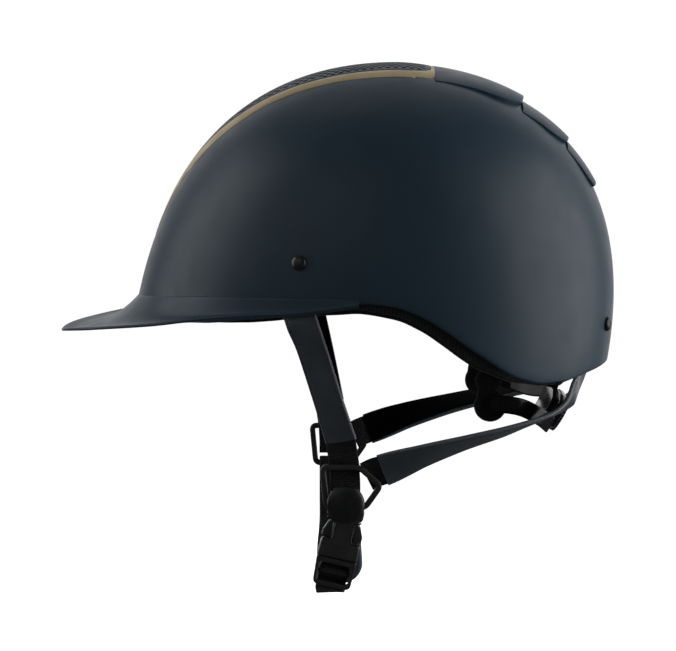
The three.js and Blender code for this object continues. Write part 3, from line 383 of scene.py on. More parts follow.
def grid_faces(rows, columns, wrap_rows, wrap_columns):
    r, c = np.meshgrid(
        np.arange(rows if wrap_rows else rows - 1),
        np.arange(columns if wrap_columns else columns - 1),
        indexing="ij",
    )
    below, right = (r + 1) % rows, (c + 1) % columns
    faces = [r * columns + c, r * columns + right, below * columns + right, below * columns + c]
    return np.stack(faces, -1).reshape(-1, 4), r, c


def grid_object(name, grid, material=None, wrap_rows=False, wrap_columns=False, caps=False, uv=None,
                sharp_angle=45):
    """Mesh over a grid of points (rows, columns, 3). caps closes the first and last row.
    uv is a pair: millimetres along the rows and along the columns, at each line of the grid."""
    rows, columns = grid.shape[:2]
    faces, r, c = grid_faces(rows, columns, wrap_rows, wrap_columns)
    points = grid.reshape(-1, 3)
    corner_uv = None
    if uv is not None:
        along, across = (np.asarray(v, float) for v in uv)
        corners = [(r, c), (r, c + 1), (r + 1, c + 1), (r + 1, c)]
        corner_uv = np.stack([np.stack([along[i], across[j]], -1) for i, j in corners], -2)
        corner_uv = corner_uv.reshape(-1, 2)
    faces = faces.tolist()
    if caps:
        for row in (0, rows - 1):
            start = row * columns
            centre = len(points)
            points = np.concatenate([points, grid[row].mean(0, keepdims=True)])
            for k in range(columns):
                faces.append([start + k, start + (k + 1) % columns, centre])
                if corner_uv is not None:
                    flat = [[along[row], across[k]], [along[row], across[k + 1]], [along[row], 0]]
                    corner_uv = np.concatenate([corner_uv, flat])
    return mesh_object(name, points, faces, material, sharp_angle, corner_uv)


def evaluated_mesh(obj):
    evaluated = obj.evaluated_get(bpy.context.evaluated_depsgraph_get())
    return bpy.data.meshes.new_from_object(evaluated)


def apply_modifiers(obj):
    """Bakes an object's modifiers into its mesh."""
    mesh = evaluated_mesh(obj)
    obj.modifiers.clear()
    obj.data = mesh


def add_modifier(obj, kind, **settings):
    modifier = obj.modifiers.new(kind.lower(), kind)
    for key, value in settings.items():
        setattr(modifier, key, value)


def subtract(obj, cutters):
    for cutter in cutters:
        add_modifier(obj, "BOOLEAN", operation="DIFFERENCE", solver="EXACT", object=cutter)
    apply_modifiers(obj)
    for cutter in cutters:
        bpy.data.objects.remove(cutter)
    obj.data.set_sharp_from_angle(angle=math.radians(SHARP_ANGLE))


def add_bevel(obj, width, segments, angle=SHARP_ANGLE):
    add_modifier(obj, "BEVEL", width=width / 1000, segments=segments, limit_method="ANGLE",
                 angle_limit=math.radians(angle))


def thicken(sheet, thickness, edge, segments, edge_angle, sharp_angle):
    """Turns a sheet into a plate below it, with bevelled edges."""
    add_modifier(sheet, "SOLIDIFY", thickness=thickness / 1000, offset=-1)
    apply_modifiers(sheet)
    add_bevel(sheet, edge, segments, edge_angle)
    apply_modifiers(sheet)
    smooth(sheet.data, sharp_angle)


def join_objects(name, objects):
    """One object from several, without using operators."""
    work = bmesh.new()
    for obj in objects:
        work.from_mesh(obj.data)
    mesh = bpy.data.meshes.new(name)
    work.to_mesh(mesh)
    work.free()
    material = objects[0].data.materials[0]
    for obj in objects:
        bpy.data.objects.remove(obj)
    smooth(mesh, 45)
    return new_object(name, mesh, material)


def rounded(corners, radius, segments=6):
    """Outline through corners, each rounded; a corner may carry its own radius as a third value."""
    outline = []
    corners = [list(c) for c in corners]
    for i, corner in enumerate(corners):
        here = np.array(corner[:2], float)
        own = corner[2] if len(corner) > 2 else radius
        before = np.array(corners[i - 1][:2], float)
        after = np.array(corners[(i + 1) % len(corners)][:2], float)
        own = min(own, 0.48 * np.linalg.norm(before - here), 0.48 * np.linalg.norm(after - here))
        start = here + unit(before - here) * own
        end = here + unit(after - here) * own
        for k in np.linspace(0, 1, segments + 1):
            outline.append((1 - k) ** 2 * start + 2 * k * (1 - k) * here + k * k * end)
    return np.array(outline)


def plate(name, outlines, low, high, to_space, material, edge, edge_segments):
    """Plate with rounded edges between two depths. outlines are the outer loop and its holes,
    and to_space turns arrays of (a, b, depth) into design points."""
    curve = bpy.data.curves.new(name, "CURVE")
    curve.dimensions = "2D"
    curve.fill_mode = "BOTH"
    curve.extrude = (high - low) / 2 - edge
    curve.bevel_depth = edge
    curve.bevel_resolution = edge_segments
    curve.offset = -edge
    for outline in outlines:
        spline = curve.splines.new("POLY")
        spline.points.add(len(outline) - 1)
        for point, (a, b) in zip(spline.points, outline):
            point.co = (a, b, 0, 1)
        spline.use_cyclic_u = True
    holder = new_object(name, curve)
    mesh = evaluated_mesh(holder)
    bpy.data.objects.remove(holder)
    co = np.zeros(len(mesh.vertices) * 3)
    mesh.vertices.foreach_get("co", co)
    co = co.reshape(-1, 3)
    points = to_space(co[:, 0], co[:, 1], co[:, 2] + (low + high) / 2)
    mesh.vertices.foreach_set("co", place(points).ravel())
    mesh.materials.clear()
    mesh.update()
    finish_mesh(mesh, 35)
    mesh.name = name
    return new_object(name, mesh, material)


def dome_profile(radius, base, rise, turn):
    """Profile of a domed cap above a height, for lathe."""
    return [(radius * math.cos(a), base + rise * math.sin(a)) for a in turn]


def lathe(name, profile, base, axis, material, segments=48):
    """Turned solid: profile rows are (radius, height) along axis from base."""
    axis = unit(axis)
    side = unit(np.cross(axis, [0.3, 0.9, 0.31]))
    other = np.cross(axis, side)
    turn = turn_angles(segments)
    rows = []
    for radius, height in profile:
        ring = np.outer(np.cos(turn), side) + np.outer(np.sin(turn), other)
        rows.append(np.asarray(base) + axis * height + ring * max(radius, 1e-4))
    return grid_object(name, np.array(rows), material, wrap_columns=True, caps=True, sharp_angle=50)


# ---------------------------------------------------------------------------------------
# Straps: a section swept along a path
# ---------------------------------------------------------------------------------------

def strap_frames(stops, steps, by_width=False):
    """Centres, directions across and out of the face, and length so far, along a path.
    Each stop is (place, face normal), or (place, width direction) with by_width."""
    u = np.linspace(0, 1, steps + 1)
    places = [stop[0] for stop in stops]
    centre = catmull(places, u)
    along = unit(catmull(places, u + 1e-4) - catmull(places, u - 1e-4))
    guide = catmull([stop[1] for stop in stops], u)
    if by_width:
        across = unit(guide - along * np.sum(guide * along, axis=1, keepdims=True))
    else:
        across = unit(np.cross(guide, along))
    out = unit(np.cross(along, across))
    return centre, across, out, running_length(centre)


def section_points(frames, section):
    """Grid from frames and a section: rows of (across, out), the same for all or one for each."""
    centre, across, out, _ = frames
    section = np.broadcast_to(section, (len(centre),) + section.shape[-2:])
    return centre[:, None] + across[:, None] * section[..., :1] + out[:, None] * section[..., 1:]


def flat_section(width, thickness, edge, count=9):
    """Closed strap section with half-round edges: count points along each face."""
    inner = width / 2 - edge
    turn = np.linspace(-math.pi / 2, math.pi / 2, 7)
    half = thickness / 2
    right = np.stack([inner + edge * np.cos(turn), half * np.sin(turn)], -1)
    top = np.stack([np.linspace(inner, -inner, count + 2)[1:-1], np.full(count, half)], -1)
    return np.concatenate([right, top, -right, -top])


def swept(name, stops, section, steps, material, by_width=False, shape=None):
    """Strap of one section. shape(section, lengths) may return one section for each step."""
    frames = strap_frames(stops, steps, by_width)
    sections = section if shape is None else shape(section, frames[3])
    across = np.append(section[:, 0], section[0, 0])
    grid = section_points(frames, sections)
    return grid_object(name, grid, material, wrap_columns=True, caps=True, uv=(frames[3], across))


def side_place(point, side, share=1.0):
    x, y, z = point
    if side == "left":
        return [x, y, z]
    return [x + RIGHT_SHIFT[0] * share, -y, z + RIGHT_SHIFT[1] * share]


def side_normal(normal, side):
    x, y, z = normal
    return [x, y if side == "left" else -y, z]


def strap_stops(side, end):
    stops = []
    for angle, height, extra in WALL_STOPS[end]:
        turned = -SIDES[side] * angle
        point = wall_point(turned, height, STRAP_DEPTH + extra)
        stops.append((point, wall_normal(turned, height)))
    route = STRAP_ROUTES[end]
    for i, (point, normal) in enumerate(zip(route, STRAP_FACES[end])):
        share = ((i + 1) / len(route)) ** 2
        stops.append((np.array(side_place(point, side, share)), np.array(side_normal(normal, side), float)))
    return stops


def web_stops(side, end):
    start, face = strap_stops(side, end)[-1]
    route = [np.array(side_place(point, side)) for point in WEB_ROUTES[end]]
    # The webbing starts inside the mouth of the sleeve.
    first = start - unit(route[0] - start) * 1.5
    normal = np.array(side_normal([0, -1, 0], side), float)
    return [(first, face)] + [(point, normal) for point in route]


# ---------------------------------------------------------------------------------------
# Materials. Coordinates are metres in the part's frame, or millimetres along and across a
# strap where a piece has a UV map.
# ---------------------------------------------------------------------------------------

class Shader:
    """A Principled material with short calls for the nodes that vary it."""

    def __init__(self, name, colour, roughness, metallic=0.0, specular=0.5, **sockets):
        self.material = bpy.data.materials.new(name)
        self.material.use_nodes = True
        self.tree = self.material.node_tree
        self.bsdf = self.tree.nodes["Principled BSDF"]
        self.bsdf.inputs["Base Color"].default_value = (*colour, 1)
        self.bsdf.inputs["Roughness"].default_value = roughness
        self.bsdf.inputs["Metallic"].default_value = metallic
        self.bsdf.inputs["Specular IOR Level"].default_value = specular
        for socket, value in sockets.items():
            self.bsdf.inputs[socket.replace("_", " ")].default_value = value
        self.normal = None

    def node(self, kind, inputs=(), **settings):
        node = self.tree.nodes.new(kind)
        for key, value in settings.items():
            setattr(node, key, value)
        for key, value in dict(inputs).items():
            if isinstance(value, bpy.types.NodeSocket):
                self.tree.links.new(value, node.inputs[key])
            else:
                node.inputs[key].default_value = value
        return node

    def position(self):
        return self.node("ShaderNodeTexCoord").outputs["Object"]

    def uv(self):
        return self.node("ShaderNodeUVMap").outputs["UV"]

    def math(self, operation, a, b=0.0, c=0.0):
        node = self.node("ShaderNodeMath", {0: a, 1: b, 2: c}, operation=operation)
        return node.outputs[0]

    def vector_math(self, operation, a, b=(0, 0, 0), output="Vector"):
        node = self.node("ShaderNodeVectorMath", {0: a, 1: b}, operation=operation)
        return node.outputs[output]

    def part(self, vector, axis):
        return self.node("ShaderNodeSeparateXYZ", {0: vector}).outputs[axis]

    def noise(self, scale, detail, vector=None):
        inputs = {"Vector": vector or self.position(), "Scale": scale, "Detail": detail, "Roughness": 0.55}
        return self.node("ShaderNodeTexNoise", inputs).outputs["Fac"]

    def cells(self, scale, feature="F1", output="Distance"):
        inputs = {"Vector": self.position(), "Scale": scale}
        return self.node("ShaderNodeTexVoronoi", inputs, feature=feature).outputs[output]

    def remap(self, value, low, high, new_low=0.0, new_high=1.0):
        inputs = {"Value": value, "From Min": low, "From Max": high, "To Min": new_low, "To Max": new_high}
        return self.node("ShaderNodeMapRange", inputs, interpolation_type="SMOOTHSTEP").outputs["Result"]

    def mix_colour(self, factor, dark, light):
        node = self.node("ShaderNodeMix", {0: factor}, data_type="RGBA")
        for index, colour in ((6, dark), (7, light)):
            if isinstance(colour, bpy.types.NodeSocket):
                self.tree.links.new(colour, node.inputs[index])
            else:
                node.inputs[index].default_value = (*colour, 1)
        return node.outputs[2]

    def colour(self, socket):
        self.tree.links.new(socket, self.bsdf.inputs["Base Color"])

    def roughness(self, socket):
        self.tree.links.new(socket, self.bsdf.inputs["Roughness"])

    def bump(self, height, millimetres, strength):
        inputs = {"Height": height, "Distance": millimetres / 1000, "Strength": strength}
        if self.normal:
            inputs["Normal"] = self.normal
        self.normal = self.node("ShaderNodeBump", inputs).outputs["Normal"]
        self.tree.links.new(self.normal, self.bsdf.inputs["Normal"])

    def hex_distance(self, vector, pitch):
        """Distance to the nearest point of a hexagonal lattice, in lattice pitches."""
        flat = self.vector_math("MULTIPLY", vector, (1 / pitch, 1 / (pitch * math.sqrt(3)), 0))
        distances = []
        for offset in (0.0, 0.5):
            moved = self.vector_math("ADD", flat, (offset, offset, 0))
            inside = self.vector_math("FRACTION", moved)
            centred = self.vector_math("SUBTRACT", inside, (0.5, 0.5, 0))
            scaled = self.vector_math("MULTIPLY", centred, (1, math.sqrt(3), 0))
            distances.append(self.vector_math("LENGTH", scaled, output="Value"))
        return self.math("MINIMUM", *distances)


def shade(colour, share):
    return tuple(share * c for c in colour)


def soft_touch_paint(name, colour, roughness):
    """Matte paint with a faint orange peel, a few finger marks and slightly uneven gloss."""
    shader = Shader(name, colour, roughness, specular=0.3)
    patches = shader.remap(shader.noise(22, 2), 0.3, 0.7)
    shader.colour(shader.mix_colour(patches, shade(colour, 0.93), colour))
    marks = shader.remap(shader.noise(70, 4), 0.35, 0.75, roughness - 0.03, roughness + 0.05)
    shader.roughness(marks)
    shader.bump(shader.noise(1400, 2), 0.02, 0.35)
    shader.bump(shader.noise(5200, 2), 0.006, 0.5)
    return shader.material


def gold_paint():
    shader = Shader("trim_gold", (0.42, 0.335, 0.19), 0.42, metallic=0.75)
    flakes = shader.cells(3800, output="Color")
    light = shader.remap(shader.part(flakes, 0), 0.0, 1.0)
    shader.colour(shader.mix_colour(light, (0.36, 0.285, 0.158), (0.46, 0.37, 0.215)))
    shader.roughness(shader.remap(shader.noise(90, 3), 0.3, 0.7, 0.36, 0.48))
    shader.bump(shader.noise(3000, 2), 0.008, 0.4)
    return shader.material


def bead_foam():
    """Expanded foam: pressed beads with fine seams between them."""
    shader = Shader("foam_black", (0.018, 0.018, 0.02), 0.75)
    seams = shader.remap(shader.cells(330, "DISTANCE_TO_EDGE"), 0.0, 0.12)
    shader.colour(shader.mix_colour(seams, (0.008, 0.008, 0.009), (0.022, 0.022, 0.024)))
    shader.bump(seams, 0.25, 0.6)
    shader.bump(shader.noise(2500, 2), 0.03, 0.4)
    return shader.material


def perforated_knit(name, from_uv, pitch, thread):
    """Knitted mesh with round holes on a hexagonal lattice; the holes are painted near-black as painted
    shade.
    """
    shader = Shader(name, thread, 0.85, specular=0.2, Sheen_Weight=0.1, Sheen_Roughness=0.5)
    if from_uv:
        distance = shader.hex_distance(shader.uv(), pitch)
    else:
        position = shader.position()
        node = shader.node("ShaderNodeCombineXYZ", {0: shader.part(position, 0), 1: shader.part(position, 2)})
        distance = shader.hex_distance(node.outputs[0], pitch * 0.001)
    solid = shader.remap(distance, 0.2, 0.32)
    fluff = shader.noise(3200, 3)
    lit = shader.mix_colour(fluff, shade(thread, 0.7), shade(thread, 1.5))
    # Painted shade: the holes get a near-black colour for the shadow inside them.
    shader.colour(shader.mix_colour(solid, (0.003, 0.003, 0.0035), lit))
    shader.bump(solid, 0.35, 0.9)
    shader.bump(fluff, 0.08, 0.7)
    return shader.material


def knit_fabric(name, colour, sheen=0.3):
    """Fine plain knit for the piping, the hook tape and the sleeves' lining."""
    shader = Shader(name, colour, 0.85, specular=0.5 * sheen, Sheen_Weight=sheen, Sheen_Roughness=0.45)
    loops = shader.cells(1500, "SMOOTH_F1")
    gaps = shader.remap(loops, 0.1, 0.7)
    shader.colour(shader.mix_colour(gaps, shade(colour, 1.4), shade(colour, 0.55)))
    shader.bump(gaps, 0.12, 0.8)
    return shader.material


def strap_leather(name, colour, half_width):
    """Fine-grained leather with painted highlights, pale in patches, along a strap's rounded edges, where the
    UV map gives them.
    """
    shader = Shader(name, colour, 0.38, specular=0.6)
    grain = shader.cells(1150, "DISTANCE_TO_EDGE")
    creases = shader.remap(grain, 0.0, 0.18)
    pores = shader.noise(4200, 3)
    tone = shader.remap(shader.noise(60, 3), 0.3, 0.7)
    body = shader.mix_colour(tone, shade(colour, 0.8), shade(colour, 1.15))
    if half_width:
        # Painted highlight: the strap's rounded edges are painted pale, in patches, where a lamp would glint
        # on them.
        across = shader.math("ABSOLUTE", shader.part(shader.uv(), 1))
        edge_highlight = shader.remap(across, half_width - 0.9, half_width - 0.1, 0.0, 0.75)
        patchy_edge_highlight = shader.math("MULTIPLY", edge_highlight, shader.remap(shader.noise(300, 3), 0.3, 0.6, 0.5, 1.0))
        body = shader.mix_colour(patchy_edge_highlight, body, tuple(min(1, 2.6 * c + 0.01) for c in colour))
    shader.colour(body)
    shader.roughness(shader.remap(pores, 0.3, 0.7, 0.32, 0.46))
    shader.bump(creases, 0.07, 0.55)
    shader.bump(pores, 0.03, 0.4)
    return shader.material


def webbing_weave():
    """Polyester webbing: crosswise ribs of two-tone yarn with a plain selvedge."""
    shader = Shader("webbing_black", (0.005, 0.005, 0.0055), 0.62, specular=0.3, Sheen_Weight=0.08,
                    Sheen_Roughness=0.4)
    along, across = (shader.part(shader.uv(), axis) for axis in (0, 1))
    rib = shader.math("SINE", shader.math("MULTIPLY", along, 2 * math.pi / RIB["pitch"]))
    offset = shader.math("MULTIPLY", rib, 0.25)
    yarn = shader.math("SINE", shader.math("MULTIPLY_ADD", across, 2 * math.pi / 0.85, offset))
    weave = shader.math("MULTIPLY", shader.remap(rib, -1, 1), shader.remap(yarn, -1, 1, 0.35, 1.0))
    shader.colour(shader.mix_colour(weave, (0.0015, 0.0015, 0.0017), (0.011, 0.011, 0.012)))
    shader.roughness(shader.remap(shader.noise(900, 3), 0.3, 0.7, 0.5, 0.75))
    shader.bump(weave, 0.16, 0.9)
    shader.bump(shader.noise(5200, 2), 0.03, 0.5)
    return shader.material


def moulded_plastic(name, colour, roughness):
    """Satin moulded plastic with a spark-eroded grain and slightly polished patches."""
    shader = Shader(name, colour, roughness, specular=0.5)
    tone = shader.remap(shader.noise(120, 3), 0.3, 0.7)
    shader.colour(shader.mix_colour(tone, shade(colour, 0.75), shade(colour, 1.2)))
    shader.roughness(shader.remap(shader.noise(260, 4), 0.3, 0.7, roughness - 0.07, roughness + 0.08))
    shader.bump(shader.noise(4200, 2), 0.012, 0.5)
    return shader.material


def polished_plastic():
    """Glossy plastic with hairline scratches."""
    shader = Shader("cradle_black", (0.005, 0.005, 0.006), 0.24, specular=0.2)
    position = shader.vector_math("MULTIPLY", shader.position(), (1.0, 1.0, 7.0))
    scratches = shader.noise(900, 2, vector=position)
    shader.roughness(shader.remap(scratches, 0.45, 0.75, 0.16, 0.36))
    shader.bump(shader.noise(160, 2), 0.06, 0.35)
    return shader.material


def zinc_steel():
    shader = Shader("washer_steel", (0.42, 0.42, 0.43), 0.34, metallic=1.0)
    rings = shader.noise(2200, 2)
    shader.roughness(shader.remap(rings, 0.3, 0.7, 0.28, 0.45))
    shader.bump(rings, 0.01, 0.5)
    return shader.material


def sewing_thread(name, colour):
    shader = Shader(name, colour, 0.55, Sheen_Weight=0.3)
    twist = shader.noise(5200, 2)
    shader.colour(shader.mix_colour(twist, shade(colour, 0.6), shade(colour, 1.4)))
    shader.bump(twist, 0.05, 0.8)
    return shader.material


PAINT = soft_touch_paint("shell_navy", (0.02, 0.041, 0.063), 0.42)
GRILLE_PLASTIC = soft_touch_paint("grille_navy", (0.026, 0.04, 0.055), 0.5)
GOLD = gold_paint()
FOAM_BEADS = bead_foam()
BAND_MESH = perforated_knit("liner_mesh", True, 2.1, (0.03, 0.031, 0.033))
PAD_MESH = perforated_knit("pad_mesh", False, 2.3, (0.006, 0.006, 0.007))
KNIT = knit_fabric("liner_knit", (0.012, 0.012, 0.013))
LEATHER = strap_leather("strap_leather", (0.044, 0.053, 0.064), STRAP["sleeve_width"] / 2)
GUARD_LEATHER = strap_leather("guard_leather", (0.024, 0.038, 0.054), 0)
LINING = knit_fabric("sleeve_lining", (0.002, 0.002, 0.0022), 0.04)
WEBBING = webbing_weave()
PLASTIC = moulded_plastic("fitting_black", (0.017, 0.017, 0.0175), 0.38)
CAP_PLASTIC = moulded_plastic("cap_black", (0.002, 0.002, 0.0022), 0.34)
GLOSS = polished_plastic()
STEEL = zinc_steel()
THREAD = sewing_thread("thread_navy", (0.03, 0.037, 0.045))
HOOK_TAPE = knit_fabric("hook_tape", (0.008, 0.008, 0.0085))


def attach(obj, body, slot, *nodes):
    """Rides a finished piece on its body and hides the CAD nodes that it stands for."""
    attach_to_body(obj, body)
    if nodes:
        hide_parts(*nodes)
    return obj


def repaint(node, material):
    """Gives a CAD node a finished material."""
    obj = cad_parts[node]
    obj.data.materials.clear()
    obj.data.materials.append(material)
    add_bevel(obj, 0.3, 2)
    smooth(obj.data, SHARP_ANGLE)


# ---------------------------------------------------------------------------------------
# Shell, peak and crown
# ---------------------------------------------------------------------------------------

AROUND = 320


def slot_cutter(from_x, to_x, half_width, low, high):
    """Upright slot with half-round ends, for cutting vents."""
    left, right = from_x + half_width, to_x - half_width
    turn = np.linspace(-math.pi / 2, math.pi / 2, 12)
    outline = np.concatenate([arc(right, 0, half_width, turn), arc(left, 0, -half_width, turn)])
    rows = [np.column_stack([outline, np.full(len(outline), z)]) for z in (low, high)]
    return grid_object("cutter", np.array(rows), wrap_columns=True, caps=True)


def vent_cutters():
    return [slot_cutter(low, high, VENT_HALF_WIDTH, VENT_FLOOR, ABOVE_CROWN) for low, high in VENTS]


def shell_rows(depth_out, depth_in, lift, count):
    """Rows of a closed shell: outer face, rolled rim and inner face."""
    angle = turn_angles(AROUND)
    last = edge_t(angle, lambda a, t: depth_out, lift)
    rows = [dome_layer(angle, last * k, depth_out) for k in np.linspace(0, 1, count)]
    edge, normal = rows[-1], dome_normal(angle, last)
    down = unit(dome_surface(angle, last + 0.002) - dome_surface(angle, last - 0.002))
    radius = (depth_in - depth_out) / 2
    middle = edge - normal * radius
    for turn in np.linspace(0, math.pi, 11)[1:-1]:
        rows.append(middle + radius * (math.cos(turn) * normal + math.sin(turn) * down))
    rows += [dome_layer(angle, last * k, depth_in) for k in np.linspace(1, 0, count // 2)]
    return np.array(rows)


def make_shell():
    grid = shell_rows(0, SHELL_THICKNESS, 1.3, 90)
    shell = grid_object("helmet_shell", grid, PAINT, wrap_columns=True, sharp_angle=60)
    subtract(shell, vent_cutters())
    attach(shell, "helmet", "shell_navy", "outer_shell")


def make_peak():
    """Peak that wraps the front edge, with a rolled lip and a small bead along its seam."""
    end = math.radians(PEAK["end_angle"])
    angle = np.linspace(-end, end, 181)
    turn = np.abs(np.degrees(angle))
    seam = smooth_table(PEAK["seam"], turn)
    root = wall_point(angle, seam, -0.55)
    start = wall_point(angle, seam + 0.5, 0.1)
    bead = wall_point(angle, seam + 0.45, -0.35)
    under = wall_point(angle, smooth_table(PEAK["root"], turn), -0.5)
    outward = root - np.array([APEX_X, 0, 0])
    outward[:, 2] = 0
    outward = unit(outward)
    reach = PEAK["side_reach"] + PEAK["reach"] * np.exp(-((turn / PEAK["reach_angle"]) ** 2))
    edge = root + outward * reach[:, None]
    edge[:, 2] = smooth_table(PEAK["edge"], turn)
    half = PEAK["edge_thickness"] / 2
    lip_centre = edge - outward * half
    lip_centre[:, 2] -= half
    columns = [start, bead]
    for s in np.linspace(0, 1, 26):
        point = mix(root, lip_centre, s)
        point[:, 2] = mix(root[:, 2], edge[:, 2], 1 - (1 - s) ** PEAK["fall_power"])
        columns.append(point)
    for turned in np.linspace(math.pi / 2, -math.pi / 2, 9)[1:-1]:
        point = lip_centre + outward * half * math.cos(turned)
        point[:, 2] += half * math.sin(turned)
        columns.append(point)
    for s in np.linspace(1, 0, 16):
        point = mix(under, lip_centre, s)
        point[:, 2] = mix(under[:, 2], edge[:, 2] - 2 * half, s)
        columns.append(point)
    grid = np.stack(columns, 1)
    peak = grid_object("helmet_peak", grid, PAINT, wrap_columns=True, caps=True, sharp_angle=60)
    attach(peak, "helmet", "shell_navy", "peak")


def outline_half_width(outline, x):
    past = np.maximum(0, x - (outline["rear"] - outline["corner"]))
    corner = outline["corner"]
    width = smooth_table(outline["half_width"], x)
    return width - corner + np.sqrt(np.maximum(0, corner * corner - past * past))


def crown_loop(outline, count):
    """Closed outline of a crown piece from its front point round its rear, as (x, y)."""
    front = outline["half_width"][0][0]
    rear, corner = outline["rear"], outline["corner"]
    straight = np.linspace(front, rear - corner, 260)
    turn = np.linspace(0, math.pi / 2, 40)[1:]
    width = smooth_table(outline["half_width"], rear)
    x = np.concatenate([[front], straight, rear - corner + corner * np.sin(turn), [rear]])
    y = np.concatenate([
        [0], smooth_table(outline["half_width"], straight), width - corner + corner * np.cos(turn), [0],
    ])
    half = np.stack([x, y], -1)
    lengths = running_length(half)
    at = np.linspace(0, lengths[-1], count // 2 + 1)
    side = np.stack([np.interp(at, lengths, half[:, k]) for k in (0, 1)], -1)
    return np.concatenate([side, side[-2:0:-1] * [1, -1]])


def make_trim():
    """Metallic surround of the grille: a closed band that runs out flush with the shell."""
    outer = crown_loop(TRIM, 720)
    inner = crown_loop(GRILLE, 720)
    lift = TRIM["lift"]
    profile = [
        (0.0, -0.3), (0.0, lift - 0.5), (0.015, lift - 0.15), (0.05, lift), (0.2, 0.97 * lift),
        (0.4, 0.86 * lift), (0.6, 0.68 * lift), (0.8, 0.46 * lift), (0.92, 0.3 * lift),
        (0.98, 0.12 * lift), (1.0, -0.3),
    ]
    columns = []
    for share, height in profile:
        flat = mix(inner, outer, share)
        columns.append(crown_point(flat[:, 0], flat[:, 1], height))
    trim = grid_object("grille_surround", np.stack(columns, 1), GOLD, wrap_rows=True, wrap_columns=True)
    attach(trim, "helmet", "trim_gold", "grille_trim")


GRILLE_THICKNESS = 1.7
SCOOP_THICKNESS = 2.1
HEX_PITCH = 4.4
HOLE_RADIUS = 1.38


def hexagon_cells(outline, margin):
    """Centres of a hexagonal lattice that stay a margin inside the outline."""
    rise = HEX_PITCH * math.sqrt(3) / 2
    front, rear = outline["half_width"][0][0], outline["rear"]
    rows = int(max(width for _, width in outline["half_width"]) / rise)
    loop = crown_loop(outline, 480)
    centres = []
    for row in range(-rows, rows + 1):
        for column in range(int(front / HEX_PITCH), int(rear / HEX_PITCH) + 1):
            x = column * HEX_PITCH + (row % 2) * HEX_PITCH / 2
            y = row * rise
            inside = front < x < rear and abs(y) < outline_half_width(outline, x)
            if inside and np.min(np.linalg.norm(loop - (x, y), axis=1)) > margin:
                centres.append((x, y))
    return centres


def make_grille():
    """Honeycomb panel: a flat net of hexagonal cells with round holes, laid over the crown."""
    work = bmesh.new()
    turn = np.radians(np.arange(12) * 30 + 30)
    apothem = HEX_PITCH / 2
    for x, y in hexagon_cells(GRILLE, 3.1):
        ring = []
        for k, angle in enumerate(turn):
            # Corners and edge middles alternate round the cell.
            reach = apothem / math.cos(math.pi / 6) if k % 2 == 0 else apothem
            ring.append((
                work.verts.new((x + reach * math.cos(angle), y + reach * math.sin(angle), 0)),
                work.verts.new((x + HOLE_RADIUS * math.cos(angle), y + HOLE_RADIUS * math.sin(angle), 0)),
            ))
        for k in range(12):
            (a, b), (c, d) = ring[k], ring[(k + 1) % 12]
            work.faces.new((a, c, d, b))
    bmesh.ops.remove_doubles(work, verts=work.verts, dist=0.05)
    border = [e for e in work.edges if e.is_boundary and not is_hole_edge(e)]
    loop = crown_loop(GRILLE, 240)
    inset = loop - unit(loop - np.array([-30, 0])) * 0.35
    verts = [work.verts.new((x, y, 0)) for x, y in inset]
    edges = [work.edges.new((verts[k - 1], verts[k])) for k in range(len(verts))]
    bmesh.ops.triangle_fill(work, use_beauty=True, edges=edges + border)
    bmesh.ops.recalc_face_normals(work, faces=work.faces)
    flat = np.array([v.co for v in work.verts])
    lifted = crown_point(flat[:, 0], flat[:, 1], TRIM["lift"])
    for vert, point in zip(work.verts, place(lifted)):
        vert.co = point
    mesh = bpy.data.meshes.new("vent_panel")
    work.to_mesh(mesh)
    work.free()
    panel = new_object("vent_panel", mesh, GRILLE_PLASTIC)
    thicken(panel, GRILLE_THICKNESS, 0.28, 2, SHARP_ANGLE, 50)
    attach(panel, "helmet", "grille_navy", "vent_grille")


def is_hole_edge(edge):
    """True for the short chords of a cell's round hole."""
    chord = 2 * HOLE_RADIUS * math.sin(math.pi / 12)
    return abs((edge.verts[0].co - edge.verts[1].co).length - chord) < 0.02


def make_scoop(name, spec):
    """Vent hood: a thin curved cover whose sides come down to the shell, open at the back."""
    start, end = spec["x"]
    outline = {"half_width": list(zip(spec["x"], spec["width"])), "rear": end, "corner": spec["corner"]}
    share = np.linspace(0, 1, 41)
    stations = start + (end - start) * np.sin(share * math.pi / 2)
    across = np.sin(np.linspace(-1, 1, 49) * math.pi / 2)
    x, a = np.meshgrid(stations, across, indexing="ij")
    width = outline_half_width(outline, x)
    k = (x - start) / (end - start)
    shoulder = mix(0.3, 0.62, k)
    lift = mix(*spec["lift"], k) * (1 - (1 - shoulder) * np.abs(a) ** 5)
    top = crown_point(x, a * width, lift)
    left, right = (crown_point(x[:, 0], sign * (width[:, 0] + 0.05), -0.4)[:, None] for sign in (-1, 1))
    grid = np.concatenate([left, top, right], 1)
    hood = grid_object(name, grid, PAINT)
    thicken(hood, SCOOP_THICKNESS, 0.5, 3, 55, 60)
    return hood


def make_crown():
    make_trim()
    make_grille()
    for node, spec in SCOOPS.items():
        hood = make_scoop("vent_" + node, spec)
        attach(hood, "helmet", "shell_navy", node)


# ---------------------------------------------------------------------------------------
# Liners and pads
# ---------------------------------------------------------------------------------------

